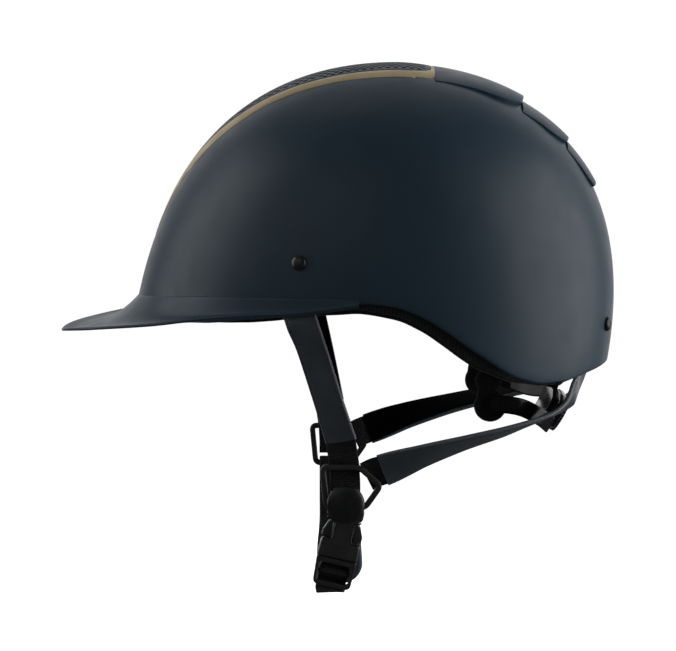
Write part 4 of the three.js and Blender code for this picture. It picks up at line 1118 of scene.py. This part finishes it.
def make_foam():
    """Impact liner with its vents, the air channel along the crown and the strap channels."""
    count = 50
    depth = SHELL_THICKNESS + 2 * GAP
    outer = shell_rows(depth, depth + 1, FOAM["edge_raise"] + 0.5, count)[:count]
    angle = turn_angles(AROUND)
    last = edge_t(angle, foam_depth, FOAM["edge_raise"])
    inner = [dome_layer(angle, last * k, foam_depth(angle, last * k)) for k in np.linspace(1, 0, count)]
    foam = grid_object("foam_liner", np.concatenate([outer, inner]), FOAM_BEADS, wrap_columns=True)
    cutters = vent_cutters()
    cutters.append(slot_cutter(*CHANNEL["x"], CHANNEL["half_width"], CHANNEL["floor"], ABOVE_CROWN))
    section = flat_section(
        STRAP["sleeve_width"] + STRAP_CHANNEL["wider"], STRAP["sleeve_thickness"] + STRAP_CHANNEL["deeper"], 1
    )
    for side in SIDES:
        for end in ANCHORS:
            stops = strap_stops(side, end)[:len(WALL_STOPS[end])]
            (above, _), (last, face) = stops[-2:]
            # The channel runs straight on, past the foam's edge.
            stops.append((last + unit(last - above) * STRAP_CHANNEL["run_out"], face))
            cutters.append(swept("cutter", stops, section, 24, None))
    subtract(foam, cutters)
    attach(foam, "helmet", "foam_black", "impact_liner")


SEAM_ANGLES = np.radians([0, 42, 90, 138, 180, 222, 270, 318])
PIPING = {"radius": 1.1, "wrinkles": 260, "wrinkle_depth": 0.03}
# Millimetres of cloth round the head and down the band, which set the scale of its knit.
BAND_CLOTH = {"round": 680, "down": 190}


def smooth_loop(section, steps):
    """Rows of a smooth closed curve through each line of a section, with steps rows to a line."""
    count = len(section)
    rows = []
    for i in range(count):
        before, start, end, after = (section[(i + k) % count] for k in (-1, 0, 1, 2))
        leaving, arriving = 0.35 * (end - before), 0.35 * (after - start)
        for w in np.arange(steps) / steps:
            bend = leaving * w * (1 - w) ** 2 - arriving * w * w * (1 - w)
            rows.append(mix(start, end, w * w * (3 - 2 * w)) + bend)
    return np.array(rows)


def make_comfort_liner():
    """Padded headband: a closed band whose inner face is sewn into panels."""
    angle = turn_angles(AROUND)

    def layer(depth_at, lift):
        t = edge_t(angle, depth_at, lift)
        return dome_layer(angle, t, depth_at(angle, t))

    def lowered(points, lift):
        points = points.copy()
        points[:, 2] += lift - smooth_table(FABRIC_HANG, points[:, 0])
        return points

    def inner(a, t):
        return fabric_depth(a, t) + FABRIC["thickness"]

    def skirt(a, t):
        return np.full(np.shape(a), float(FABRIC["outer_depth"]))

    under = FOAM["edge_raise"] - 3
    height = FABRIC["height"]
    section = np.array([
        layer(fabric_depth, height), layer(fabric_depth, 25), layer(fabric_depth, under), layer(skirt, under),
        lowered(layer(skirt, 0), 0), lowered(layer(lambda a, t: skirt(a, t) + FABRIC["roll"], 0), 0),
        lowered(layer(inner, 0), 2), layer(inner, 12), layer(inner, 30), layer(inner, height - 3),
    ])
    steps = 9
    grid = smooth_loop(section, steps)
    # The inner face, which starts at the seventh line of the section, swells between its seams.
    near_seam = np.min(np.abs(np.angle(np.exp(1j * (angle[:, None] - SEAM_ANGLES)))), axis=1)
    panel = 1 - np.exp(-((near_seam / FABRIC["seam_width"]) ** 2))
    first_inner = 6 * steps
    for k in range(first_inner, len(grid)):
        share = (k - first_inner) / (len(grid) - first_inner)
        swell = FABRIC["swell"] * math.sin(math.pi * share) * panel - 0.6
        grid[k] -= dome_normal(angle, 0.7) * (swell * math.sin(math.pi * min(1, share * 1.2)))[:, None]
    cloth = np.linspace(0, BAND_CLOTH["down"], len(grid) + 1), np.linspace(0, BAND_CLOTH["round"], AROUND + 1)
    liner = grid_object(
        "comfort_band", grid, BAND_MESH, wrap_rows=True, wrap_columns=True, uv=cloth, sharp_angle=70
    )
    attach(liner, "helmet", "liner_fabric", "comfort_liner")
    make_piping(angle)


def make_piping(angle):
    """Corded edge sewn along the bottom of the headband, with a spiral wrinkle in its cover."""
    radius = PIPING["radius"]
    rows = []
    wrinkle = 1 + PIPING["wrinkle_depth"] * np.sin(angle * PIPING["wrinkles"])
    for turn in turn_angles(14):
        depth = FABRIC["outer_depth"] + 1.2 + radius * wrinkle * math.cos(turn)
        point = dome_layer(angle, edge_t(angle, lambda a, t: depth, 0), depth)
        drop = radius * (1 + wrinkle * math.sin(turn)) + 0.1
        point[:, 2] -= drop + smooth_table(FABRIC_HANG, point[:, 0])
        rows.append(point)
    piping = grid_object("band_piping", np.array(rows), KNIT, wrap_rows=True, wrap_columns=True)
    attach(piping, "helmet", "liner_fabric", "liner_piping")


def make_crown_pad():
    """Soft pad under the crown, sewn into petals that rise between the seams."""
    angle = turn_angles(144)
    top = float(fabric_depth(np.array(0.0), np.array(0.0)))
    flat = APEX_Z - top - CROWN_PAD["thickness"] - 1.5
    petals = 0.5 - 0.5 * np.cos(angle * CROWN_PAD["petals"])
    seams = np.exp(-((petals / CROWN_PAD["seam_width"]) ** 2))
    # The pad's rim and the start of its middle, as shares of an outline that is larger than the pad.
    rim, centre = 0.8, 0.02
    half_length, half_width = CROWN_PAD["half_length"] / rim, CROWN_PAD["half_width"] / rim

    def ring(share, depth):
        x = APEX_X - share * half_length * np.cos(angle)
        y = -share * half_width * np.sin(angle)
        return crown_point(x, y, -depth)

    rows = [ring(share, top + 3 * share) for share in np.linspace(centre, rim, 12)]
    for turn in np.linspace(0, math.pi, 7)[1:-1]:
        middle = top + 3.9
        rows.append(ring(rim + 0.015 * math.sin(turn), middle - 1.4 * math.cos(turn)))
    for share in np.linspace(rim, centre, 24):
        fullness = 1 - 0.5 * seams * min(1, share * 3)
        thickness = mix(CROWN_PAD["thickness"], CROWN_PAD["edge_thickness"], share) * fullness
        points = ring(share, top + thickness)
        points[:, 2] = np.minimum(points[:, 2], flat)
        rows.append(points)
    pad = grid_object("crown_cushion", np.array(rows), PAD_MESH, wrap_columns=True, caps=True, sharp_angle=80)
    attach(pad, "helmet", "liner_fabric", "crown_pad")


# ---------------------------------------------------------------------------------------
# Harness
# ---------------------------------------------------------------------------------------

SLEEVE_STEPS = 170
EDGE_RADIUS = 1.2
SLEEVE_EDGE_POINTS = 7
STITCH = {"inset": 7.5, "sink": 0.42, "pitch": 3.1, "length": 2.3, "radius": 0.27}


def sleeve_section():
    """Leather sleeve: rounded turned edges and a shallow groove that the stitches lie in."""
    half = STRAP["sleeve_width"] / 2
    thick = STRAP["sleeve_thickness"] / 2
    flat = half - EDGE_RADIUS
    across = np.linspace(flat, -flat, 33)
    groove = 0.34 * np.exp(-(((np.abs(across) - STITCH["inset"]) / 0.5) ** 2))
    swell = 0.25 * (1 - (across / half) ** 2)
    face = np.stack([across, thick - 0.25 - groove + swell], -1)
    turn = np.linspace(-math.pi / 2, math.pi / 2, SLEEVE_EDGE_POINTS + 2)[1:-1]
    edge = np.stack([flat + EDGE_RADIUS * np.cos(turn), (thick - 0.3) * np.sin(turn)], -1)
    return np.concatenate([edge, face, -edge, -face])


def stitch_row(frames, across_at, out_at):
    """Points and faces of one row of stitches along a strap."""
    centre, across, out, lengths = frames
    sides = 6
    along_shape = [(-0.5, 0.35), (-0.3, 0.95), (0.0, 1.0), (0.3, 0.95), (0.5, 0.35)]
    skin, _, _ = grid_faces(len(along_shape), sides, False, True)
    last_ring = sides * (len(along_shape) - 1)
    points, faces = [], []
    for start in np.arange(2.5, lengths[-1] - 2, STITCH["pitch"]):
        first = len(points)
        for share, size in along_shape:
            s = start + share * STITCH["length"]
            at, sideways, up = (np.array([np.interp(s, lengths, v[:, k]) for k in range(3)])
                                for v in (centre, across, out))
            dip = -0.12 * (2 * share) ** 4 * np.sign(out_at)
            for angle in turn_angles(sides):
                a = across_at + STITCH["radius"] * size * math.cos(angle)
                b = out_at + dip + STITCH["radius"] * size * math.sin(angle)
                points.append(at + sideways * a + up * b)
        faces += (skin + first).tolist()
        faces += [list(range(ring, ring + sides)) for ring in (first, first + last_ring)]
    return points, faces


def make_stitching(tag, frames):
    """Two rows of stitches on the outer face of a sleeve."""
    height = STRAP["sleeve_thickness"] / 2 - STITCH["sink"]
    points, faces = [], []
    for across in (-STITCH["inset"], STITCH["inset"]):
        more, more_faces = stitch_row(frames, across, height)
        faces += [[i + len(points) for i in face] for face in more_faces]
        points += more
    thread = mesh_object(f"sleeve_stitching_{tag}", points, faces, THREAD)
    attach(thread, "helmet", "strap_leather")


def ribbed(section, lengths):
    """One webbing section for each step: its faces rise and fall in crosswise ribs."""
    wave = 1 + RIB["depth"] * np.sin(lengths * 2 * math.pi / RIB["pitch"])
    return np.stack([np.broadcast_to(section[:, 0], (len(lengths), len(section))),
                     section[:, 1] * wave[:, None]], -1)


def line_inner_face(strap, columns):
    """Gives the face of a sleeve that looks towards the head its own material."""
    strap.data.materials.append(LINING)
    for polygon in strap.data.polygons:
        if polygon.index % columns >= columns // 2 + SLEEVE_EDGE_POINTS:
            polygon.material_index = 1


def make_straps():
    for side in SIDES:
        for end in ANCHORS:
            tag = f"{end}_{side}"
            stops = strap_stops(side, end)
            sleeve = swept(f"sleeve_{tag}", stops, sleeve_section(), SLEEVE_STEPS, LEATHER)
            line_inner_face(sleeve, len(sleeve_section()))
            attach(sleeve, "helmet", "strap_leather", f"strap_sleeve_{tag}")
            make_stitching(tag, strap_frames(stops, SLEEVE_STEPS))
            section = flat_section(STRAP["web_width"], STRAP["web_thickness"], 0.7)
            web = swept(f"web_{tag}", web_stops(side, end), section, 260, WEBBING, shape=ribbed)
            attach(web, "helmet", "webbing_black", f"strap_webbing_{tag}")
            make_rivet(side, end, tag)


def make_rivet(side, end, tag):
    angle, height = ANCHORS[end]
    turned = -SIDES[side] * angle
    radius, rise = RIVET["cap_radius"], RIVET["cap_height"]
    profile = [(0, -2.5), (2.0, -2.5), (2.0, 0.15), (radius - 0.3, 0.15), (radius, 0.45)]
    profile += dome_profile(radius, 0.55, rise - 0.2, np.linspace(0.1, 1.5, 10))
    profile.append((0, 0.55 + rise - 0.2))
    rivet = lathe(f"rivet_cap_{tag}", profile, wall_point(turned, height, 0), wall_normal(turned, height),
                  CAP_PLASTIC)
    attach(rivet, "helmet", "fitting_black", f"strap_rivet_{tag}")


def inset_polygon(corners, distance):
    """Polygon moved inwards by a distance; the corners run clockwise in X and Z."""
    corners = np.array([c[:2] for c in corners], float)
    into = unit(corners - np.roll(corners, 1, axis=0))
    away = unit(np.roll(corners, -1, axis=0) - corners)
    normal_in = np.stack([into[:, 1], -into[:, 0]], -1)
    normal_away = np.stack([away[:, 1], -away[:, 0]], -1)
    bisector = unit(normal_in + normal_away)
    return corners + bisector * (distance / np.sum(bisector * normal_in, axis=1))[:, None]


def closed_tube(name, outline, section, to_space, material):
    """Bar of one section along a closed outline in a plane; section rows are (sideways, depth)."""
    ahead = unit(np.roll(outline, -1, axis=0) - np.roll(outline, 1, axis=0))
    sideways = np.stack([ahead[:, 1], -ahead[:, 0]], -1)
    rows = []
    for point, away in zip(outline, sideways):
        flat = point + section[:, :1] * away
        rows.append(to_space(flat[:, 0], flat[:, 1], section[:, 1]))
    return grid_object(name, np.array(rows), material, wrap_rows=True, wrap_columns=True)


def make_rings():
    # A square section with well rounded corners.
    round_section = circle(1, 20)
    half_size = np.array([RING["bar"], RING["thickness"]]) / 2
    section = half_size * np.sign(round_section) * np.abs(round_section) ** 0.5
    centre_line = rounded(inset_polygon(RING["outline"], RING["bar"] / 2), RING["corner"], 9)
    for side, sign in SIDES.items():
        shift_x, shift_z = (0, 0) if side == "left" else RIGHT_SHIFT

        def to_space(a, b, depth):
            return np.stack([a + shift_x, sign * RING_PLANE + depth, b + shift_z], -1)

        ring = closed_tube(f"harness_ring_{side}", centre_line, section, to_space, PLASTIC)
        attach(ring, "helmet", "fitting_black", f"strap_ring_{side}")


def make_cap():
    """Domed ring cap with a fine groove round its foot."""
    radius, rise = CAP["radius"], CAP["height"]
    profile = [(0, 0), (radius - 0.5, 0), (radius, 0.4), (radius, 1.0), (radius - 0.35, 1.25)]
    profile += dome_profile(radius - 0.3, 1.35, rise - 1.35, np.linspace(0.12, 1.5, 14))
    profile.append((0, rise))
    base = [CAP["x"], -RING_PLANE - BUCKLE["half_thickness"] - GAP, CAP["z"]]
    cap = lathe("ring_cap_dome", profile, base, (0, -1, 0), CAP_PLASTIC, 72)
    attach(cap, "helmet", "fitting_black", "ring_cap")


def from_buckle(a, b, depth):
    """Buckle frame (rearward, up, inwards) to design points."""
    tilt = BUCKLE["tilt"]
    x = BUCKLE["x"] + a * math.cos(tilt) + b * math.sin(tilt)
    z = BUCKLE["z"] - a * math.sin(tilt) + b * math.cos(tilt)
    return np.stack([x, -RING_PLANE + depth, z], -1)


def buckle_box(low, high):
    corners = [(low[0], low[2]), (high[0], low[2]), (high[0], high[2]), (low[0], high[2])]
    rows = [[from_buckle(a, b, y) for a, b in corners] for y in (low[1], high[1])]
    return grid_object("cutter", np.array(rows), wrap_columns=True, caps=True)


SOCKET_OUTLINE = [
    (-11.4, 0), (-11, 9.4), (-4.8, 10.2), (-4.8, 20.4), (-11.2, 23.6), (-11.2, 29), (-7, 35.5),
    (5, 35.5), (9.4, 29), (9.4, 23.6), (4.8, 20.4), (4.8, 10.2), (11, 9.4), (11.4, 0),
]
PRONG_OUTLINE = [
    (5, 0), (9, 0), (9.1, 9.2), (9.3, 10.7), (11.3, 10.9), (11.2, 14.5), (9.2, 19.6), (6.6, 21), (6.2, 12),
]


BUCKLE_FACE = (0, -1, 0)
SOCKET_SLOTS = [
    ((-9.6, -2.8, -2), (9.6, 2.8, 22.2)),
    ((-20, -1.9, 24.2), (20, 1.9, 40)),
    ((-20, 1, 33), (20, 10, 40)),
]
PLUG_BAR_HEIGHT = -8.6


def buckle_plate(name, outlines, low, high, edge, edge_segments):
    return plate(name, outlines, low, high, from_buckle, PLASTIC, edge, edge_segments)


def round_bar(name, points, radius, sides, out, steps):
    """Round bar through points of the buckle frame."""
    stops = [(from_buckle(*point), out) for point in points]
    return swept(name, stops, circle(radius, sides), steps, PLASTIC)


def notch_rim(sign, face):
    """Raised rim of the socket's side window, through which a prong is pinched."""
    # At the rear the front's corner would make the rim stick out of the socket.
    corner = 10.6 if sign < 0 else 8.8
    notch = [(10.6, 10), (5.6, 10.6), (5.3, 15.5), (5.6, 20), (corner, 22.6)]
    return round_bar("rim", [(sign * x, z, face + 0.25) for x, z in notch], 0.5, 10, BUCKLE_FACE, 60)


def make_socket():
    depth = BUCKLE["half_thickness"]
    socket = buckle_plate("socket_body", [rounded(SOCKET_OUTLINE, 1.6)], -depth, depth, 1.1, 4)
    subtract(socket, [buckle_box(low, high) for low, high in SOCKET_SLOTS])
    trims = [notch_rim(sign, -depth) for sign in (-1, 1)]
    for z in (3.0, 5.0, 7.0):
        ridge = rounded([(-6.5, z - 0.45), (6.5, z - 0.45), (6.5, z + 0.45), (-6.5, z + 0.45)], 0.4, 3)
        trims.append(buckle_plate("ridge", [ridge], -depth - 0.25, -depth + 1, 0.2, 2))
    socket = join_objects("buckle_socket_shell", [socket] + trims)
    attach(socket, "helmet", "fitting_black", "buckle_socket")


def make_plug():
    half_width = BUCKLE["half_width"]
    rim = rounded([(-half_width, -GAP, 0.8), (half_width, -GAP, 0.8), (10.8, -16.4, 3), (-10.4, -16.4, 3)], 1)
    window = rounded([(-9.1, -3.4), (9.1, -3.4), (9, -13.8), (-8.8, -13.8)], 0.9)
    tongue = rounded([(-3, 0.2), (3, 0.2), (2.4, 16), (-2.4, 16)], 0.8)
    body = buckle_plate("plug_frame", [rim, window], -4.4, 1.1, 0.7, 4)
    bar = round_bar("bar", [(a, PLUG_BAR_HEIGHT, 0.0) for a in (-9.6, 0, 9.6)], 1.1, 14, BUCKLE_FACE, 12)
    plug = join_objects("buckle_plug_frame", [body, bar, buckle_plate("tongue", [tongue], -2, 2, 0.6, 3)])
    attach(plug, "chin_strap", "fitting_black", "buckle_plug")


def make_prong(end, sign):
    """Springy arm of the plug, with three grip ribs where it is pinched."""
    outline = rounded([(sign * a, b) for a, b in PRONG_OUTLINE], 0.9)
    pieces = [buckle_plate("arm", [outline], -2.3, 2.3, 0.6, 3)]
    for z in (11.9, 13.1, 14.3):
        grip = [(sign * 11.15, z, y) for y in (-1.9, 0, 1.9)]
        pieces.append(round_bar("grip", grip, 0.3, 8, (sign, 0, 0), 6))
    prong = join_objects(f"prong_{end}_arm", pieces)
    attach(prong, f"prong_{end}", "fitting_black", f"buckle_prong_{end}")


def make_buckle():
    make_socket()
    make_plug()
    make_prong("front", -1)
    make_prong("rear", 1)


# Route of the chin webbing: (sideways, up) from the right ring's bar, then (y, z) under the jaw
# at one x, and then (depth, up) in the buckle frame through the plug.
CHIN_LOOP = 3.5
CHIN_AT_RING = [
    (1.4, -9.5), (CHIN_LOOP, -4), (CHIN_LOOP, 0), (0, CHIN_LOOP), (-CHIN_LOOP, 0), (-CHIN_LOOP, -8),
    (-4.4, -20), (-8.5, -33),
]
CHIN_X = -25.8
CHIN_UNDER_JAW = [(42, -151), (18, -158.5), (-12, -160.5), (-42, -159.5), (-57, -157.6)]
CHIN_IN_PLUG = [
    (3.6, -18.6), (2.9, -15.6), (0.6, -11.7), (-2.5, -8.6), (0.6, -5.2), (3.4, -4.8), (4.9, -8), (5, -18.5),
]


def chin_stops():
    """Stops of the chin webbing as (place, width direction), from the right ring to its tail."""
    outline = RING["outline"]
    bar_x = (outline[3][0] + outline[4][0]) / 2 + RIGHT_SHIFT[0]
    bar_z = outline[4][1] + RING["bar"] / 2 + RIGHT_SHIFT[1]
    level = (1, 0, 0)
    tilt = BUCKLE["tilt"]
    across_plug = (math.cos(tilt), 0, -math.sin(tilt))
    stops = [((bar_x, RING_PLANE + y, bar_z + z), level) for y, z in CHIN_AT_RING]
    stops += [((CHIN_X, y, z), level) for y, z in CHIN_UNDER_JAW]
    stops += [(from_buckle(0.0, z, y), across_plug) for y, z in CHIN_IN_PLUG]
    return stops


def make_chin_webbing():
    section = flat_section(STRAP["web_width"] - 0.4, STRAP["web_thickness"], 0.7, 7)
    web = swept("chin_web", chin_stops(), section, 1500, WEBBING, by_width=True, shape=ribbed)
    attach(web, "chin_strap", "webbing_black", "chin_webbing")


def level_points(flat, y):
    """Points (x, z) as design points at one y."""
    return np.stack([flat[:, 0], np.full(len(flat), float(y)), flat[:, 1]], -1)


def pillow_rows(rim, middle, levels, at):
    """Rows of a cushion closed over its rim: levels are (share of the way in, rise) from the rim
    inwards, and at turns outline points and a rise to either side into design points."""
    def row(share, rise):
        return at(mix(rim, middle, share), rise)

    below = [row(share, -rise) for share, rise in levels[::-1]]
    return np.array(below + [row(0, 0)] + [row(share, rise) for share, rise in levels])


def make_guard():
    """Padded leather tongue behind the buckle, with a sewn edge."""
    x, z = GUARD["x"], GUARD["z"]
    top_x, top_z = GUARD["top"]
    reach = math.hypot(top_x - x, top_z - z)
    lean = math.atan2(top_z - z, top_x - x)
    spread = math.acos((GUARD["radius"] - GUARD["top_radius"]) / reach)
    big = np.linspace(lean + spread, lean - spread + 2 * math.pi, 48)
    small = np.linspace(lean - spread, lean + spread, 32)

    def at(flat, rise):
        return level_points(flat, GUARD["y"] + half + rise)

    rim = np.concatenate([arc(x, z, GUARD["radius"], big), arc(top_x, top_z, GUARD["top_radius"], small)])
    half = GUARD["thickness"] / 2
    levels = []
    for inset in np.linspace(0, 1, 13)[1:]:
        groove = 0.35 * math.exp(-(((inset * 10 - 1.9) / 0.55) ** 2))
        levels.append((inset * 0.98, (half - 0.05) * math.sqrt(min(1, inset * 6)) - groove))
    grid = pillow_rows(rim, rim.mean(0), levels, at)
    guard = grid_object("buckle_tongue", grid, GUARD_LEATHER, wrap_columns=True, caps=True)
    attach(guard, "chin_strap", "strap_leather", "buckle_guard")


# ---------------------------------------------------------------------------------------
# Rear cradle
# ---------------------------------------------------------------------------------------

def from_dial(a, b, depth):
    """Dial frame (sideways, up, out of the dial) to design points."""
    lean = DIAL["lean"]
    x = DIAL["x"] + depth * math.cos(lean) + b * math.sin(lean)
    z = DIAL["z"] - depth * math.sin(lean) + b * math.cos(lean)
    return np.stack([x, a + 0 * x, z], -1)


def make_dial():
    ridges = 36
    turn = turn_angles(ridges * 8)
    rim = arc(0, 0, DIAL["radius"] - 0.35 + 0.3 * np.cos(turn * ridges), turn)
    pieces = [plate("knob", [rim], -DIAL["thickness"], 0, from_dial, PLASTIC, 0.35, 3)]
    for radius in (8.6, 5.2):
        ring = [circle(radius + 0.5, 64), circle(radius - 0.5, 64)]
        pieces.append(plate("raised_ring", ring, -0.5, 0.3, from_dial, PLASTIC, 0.2, 2))
    attach(join_objects("cradle_dial", pieces), "dial", "fitting_black", "dial_knob")


def make_housing():
    y, z = HOUSING["half_width"], HOUSING["half_height"]
    corners = [(-y, -z + 3), (-y, z - 3), (-12, z), (12, z), (y, z - 3), (y, -z + 3), (12, -z), (-12, -z)]
    layers = {
        "cover": (HOUSING_SPLIT + GAP / 2, HOUSING_BACK),
        "base": (HOUSING_BACK - HOUSING["depth"], HOUSING_SPLIT - GAP / 2),
    }
    for name, (low, high) in layers.items():
        shell = plate(f"dial_{name}", [rounded(corners, 2.5)], low, high, from_dial, GLOSS, 0.9, 4)
        attach(shell, "cradle", "cradle_black", f"dial_housing_{name}")


def band_stops(sign):
    """Stops of a cradle band, from the end of its rack to the nape pad."""
    start = from_dial(34.2 * sign, (DIAL["pinion"] + 2.8) * sign, HOUSING_SPLIT)
    rows = [
        ((93, 46, mix(start[2], -56, 0.6)), (0.65, 0.76, -0.1)),
        ((82, 57.2, -53), (0.4, 0.9, 0)),
        ((74, 59.8, -51), (0.15, 1, 0)),
        ((64, 59.8, WING["z"]), (0, 1, 0)),
    ]
    stops = [(start, (0.6, 0.8 * sign, -0.2))]
    for (x, y, z), (nx, ny, nz) in rows:
        stops.append(((x, y * sign, z), (nx, ny * sign, nz)))
    return stops


def make_cradle():
    make_dial()
    make_housing()
    for side, sign in SIDES.items():
        section = flat_section(BAND["width"], BAND["thickness"], 0.9)
        band = swept(f"cradle_arm_{side}", band_stops(sign), section, 60, GLOSS)
        attach(band, "helmet", "cradle_black", f"cradle_band_{side}")
        make_nape_pad(side, sign)
    top = from_dial(0.0, HOUSING["half_height"] + 1.6, HOUSING_BACK - HOUSING["depth"] + 2)
    lower, upper = (1, 0, 0), (1, 0, 0.05)
    yoke_stops = [(top, lower), ((92, 0, -42), lower), ((90, 0, -22), upper), ((89.5, 0, 6), upper)]
    yoke = swept("cradle_hanger", yoke_stops, flat_section(YOKE["width"], YOKE["thickness"], 1.0), 60, GLOSS)
    attach(yoke, "helmet", "cradle_black", "cradle_yoke")


def make_nape_pad(side, sign):
    """Two-lobed pad at the tip of a cradle arm, full in the middle and pinched at its edge."""
    x, z, lobe = WING["x"], WING["z"], WING["upper_lobe"]
    low = np.linspace(math.pi * 0.82, math.pi * 2.25, 40)
    high = np.linspace(-math.pi * 0.25, math.pi * 1.2, 34)
    outline = np.concatenate([arc(x, z - 1.5, 9.2, low), arc(x - 1, z + lobe, 7.5, high)])
    spine = np.stack([np.full(len(outline), x - 0.4), np.clip(outline[:, 1], z - 3, z + lobe)], -1)
    shares = np.linspace(0, 1, 14)[1:]
    levels = [(k * 0.97, WING["half_thickness"] * math.sqrt(1 - (1 - min(1, k * 1.6)) ** 2)) for k in shares]
    grid = pillow_rows(outline, spine, levels, lambda flat, rise: level_points(flat, WING["y"] * sign + rise))
    pad = grid_object(f"nape_cushion_{side}", grid, PAD_MESH, wrap_columns=True, caps=True, sharp_angle=80)
    attach(pad, "helmet", "liner_fabric", f"nape_pad_{side}")


def finish_cad_nodes():
    """Small and inner CAD nodes keep their shapes and get finished materials."""
    for place_name in ("front", "left", "rear", "right"):
        repaint(f"hook_patch_{place_name}", HOOK_TAPE)
    for side in SIDES:
        for end in ANCHORS:
            repaint(f"rivet_washer_{end}_{side}", STEEL)
        repaint(f"rack_{side}", PLASTIC)
    repaint("dial_spindle", PLASTIC)
    repaint("yoke_anchor", PLASTIC)


# ---------------------------------------------------------------------------------------
# Camera, light and floor
# ---------------------------------------------------------------------------------------

LOOK_AT = (-21.5, 0, -13)
CAMERA = {"distance": 1600, "elevation": 6.5, "lens": 146.9}


def look(obj, target):
    direction = Vector(target) - obj.location
    obj.rotation_mode = "QUATERNION"
    obj.rotation_quaternion = direction.to_track_quat("-Z", "Y")


def make_camera():
    data = bpy.data.cameras.new("camera")
    data.lens = CAMERA["lens"]
    data.sensor_width = 36
    camera = new_object("camera", data)
    lift = math.radians(CAMERA["elevation"])
    offset = np.array([0, -math.cos(lift), math.sin(lift)]) * CAMERA["distance"]
    camera.location = Vector(place(np.array(LOOK_AT) + offset))
    look(camera, place(LOOK_AT))
    data.clip_start, data.clip_end = 0.05, 60
    bpy.context.scene.camera = camera


# Each light: place in metres, width and height, and power.
SOFTBOXES = {
    "side_left": ((-1.6, 0.1, 0.35), (1.2, 1.6), 12),
    "side_right": ((1.6, -0.15, 0.1), (2.0, 1.8), 27),
    "overhead": ((-0.1, 0.6, 1.7), (1.8, 1.2), 3),
    "front_fill": ((-0.9, -1.6, 0.7), (1.4, 1.4), 2.2),
    "backdrop": ((0, 2.4, 0.5), (4.5, 3.0), 34),
}
FLOOR = {"half_size": 30.0, "height": -0.75}


def make_softbox(name, location, size, power):
    data = bpy.data.lights.new(name, "AREA")
    data.shape = "RECTANGLE"
    data.size, data.size_y = size
    data.energy = power
    light = new_object(name, data)
    light.location = location
    look(light, (0, 0, -0.1))
    light.visible_camera = False


def background(nodes, colour, strength):
    node = nodes.new("ShaderNodeBackground")
    node.inputs["Color"].default_value = (*colour, 1)
    node.inputs["Strength"].default_value = strength
    return node.outputs[0]


def make_world():
    """White behind the object, and a faint cool light all round it."""
    world = bpy.data.worlds.new("studio")
    bpy.context.scene.world = world
    world.use_nodes = True
    nodes, links = world.node_tree.nodes, world.node_tree.links
    nodes.clear()
    chooser = nodes.new("ShaderNodeMixShader")
    links.new(nodes.new("ShaderNodeLightPath").outputs["Is Camera Ray"], chooser.inputs[0])
    links.new(background(nodes, (0.93, 0.97, 1), 0.09), chooser.inputs[1])
    links.new(background(nodes, (1, 1, 1), 1.05), chooser.inputs[2])
    links.new(chooser.outputs[0], nodes.new("ShaderNodeOutputWorld").inputs["Surface"])


def make_floor():
    white = bpy.data.materials.new("floor_white")
    white.use_nodes = True
    bsdf = white.node_tree.nodes["Principled BSDF"]
    bsdf.inputs["Base Color"].default_value = (0.9, 0.9, 0.9, 1)
    bsdf.inputs["Roughness"].default_value = 0.9
    bsdf.inputs["Emission Color"].default_value = (1, 1, 1, 1)
    bsdf.inputs["Emission Strength"].default_value = 0.95
    size, height = FLOOR["half_size"], FLOOR["height"]
    corners = [(-size, -size, height), (size, -size, height), (size, size, height), (-size, size, height)]
    mesh = bpy.data.meshes.new("floor")
    mesh.from_pydata(corners, [], [(0, 1, 2, 3)])
    floor = new_object("floor", mesh, white)
    floor.visible_diffuse = False
    floor.visible_glossy = False


def make_studio():
    for name, (location, size, power) in SOFTBOXES.items():
        make_softbox(name, location, size, power)
    make_world()
    make_floor()
    bpy.context.scene.view_settings.view_transform = "Standard"


make_camera()
make_studio()
make_shell()
make_peak()
make_crown()
make_foam()
make_comfort_liner()
make_crown_pad()
make_straps()
make_rings()
make_cap()
make_buckle()
make_chin_webbing()
make_guard()
make_cradle()
finish_cad_nodes()
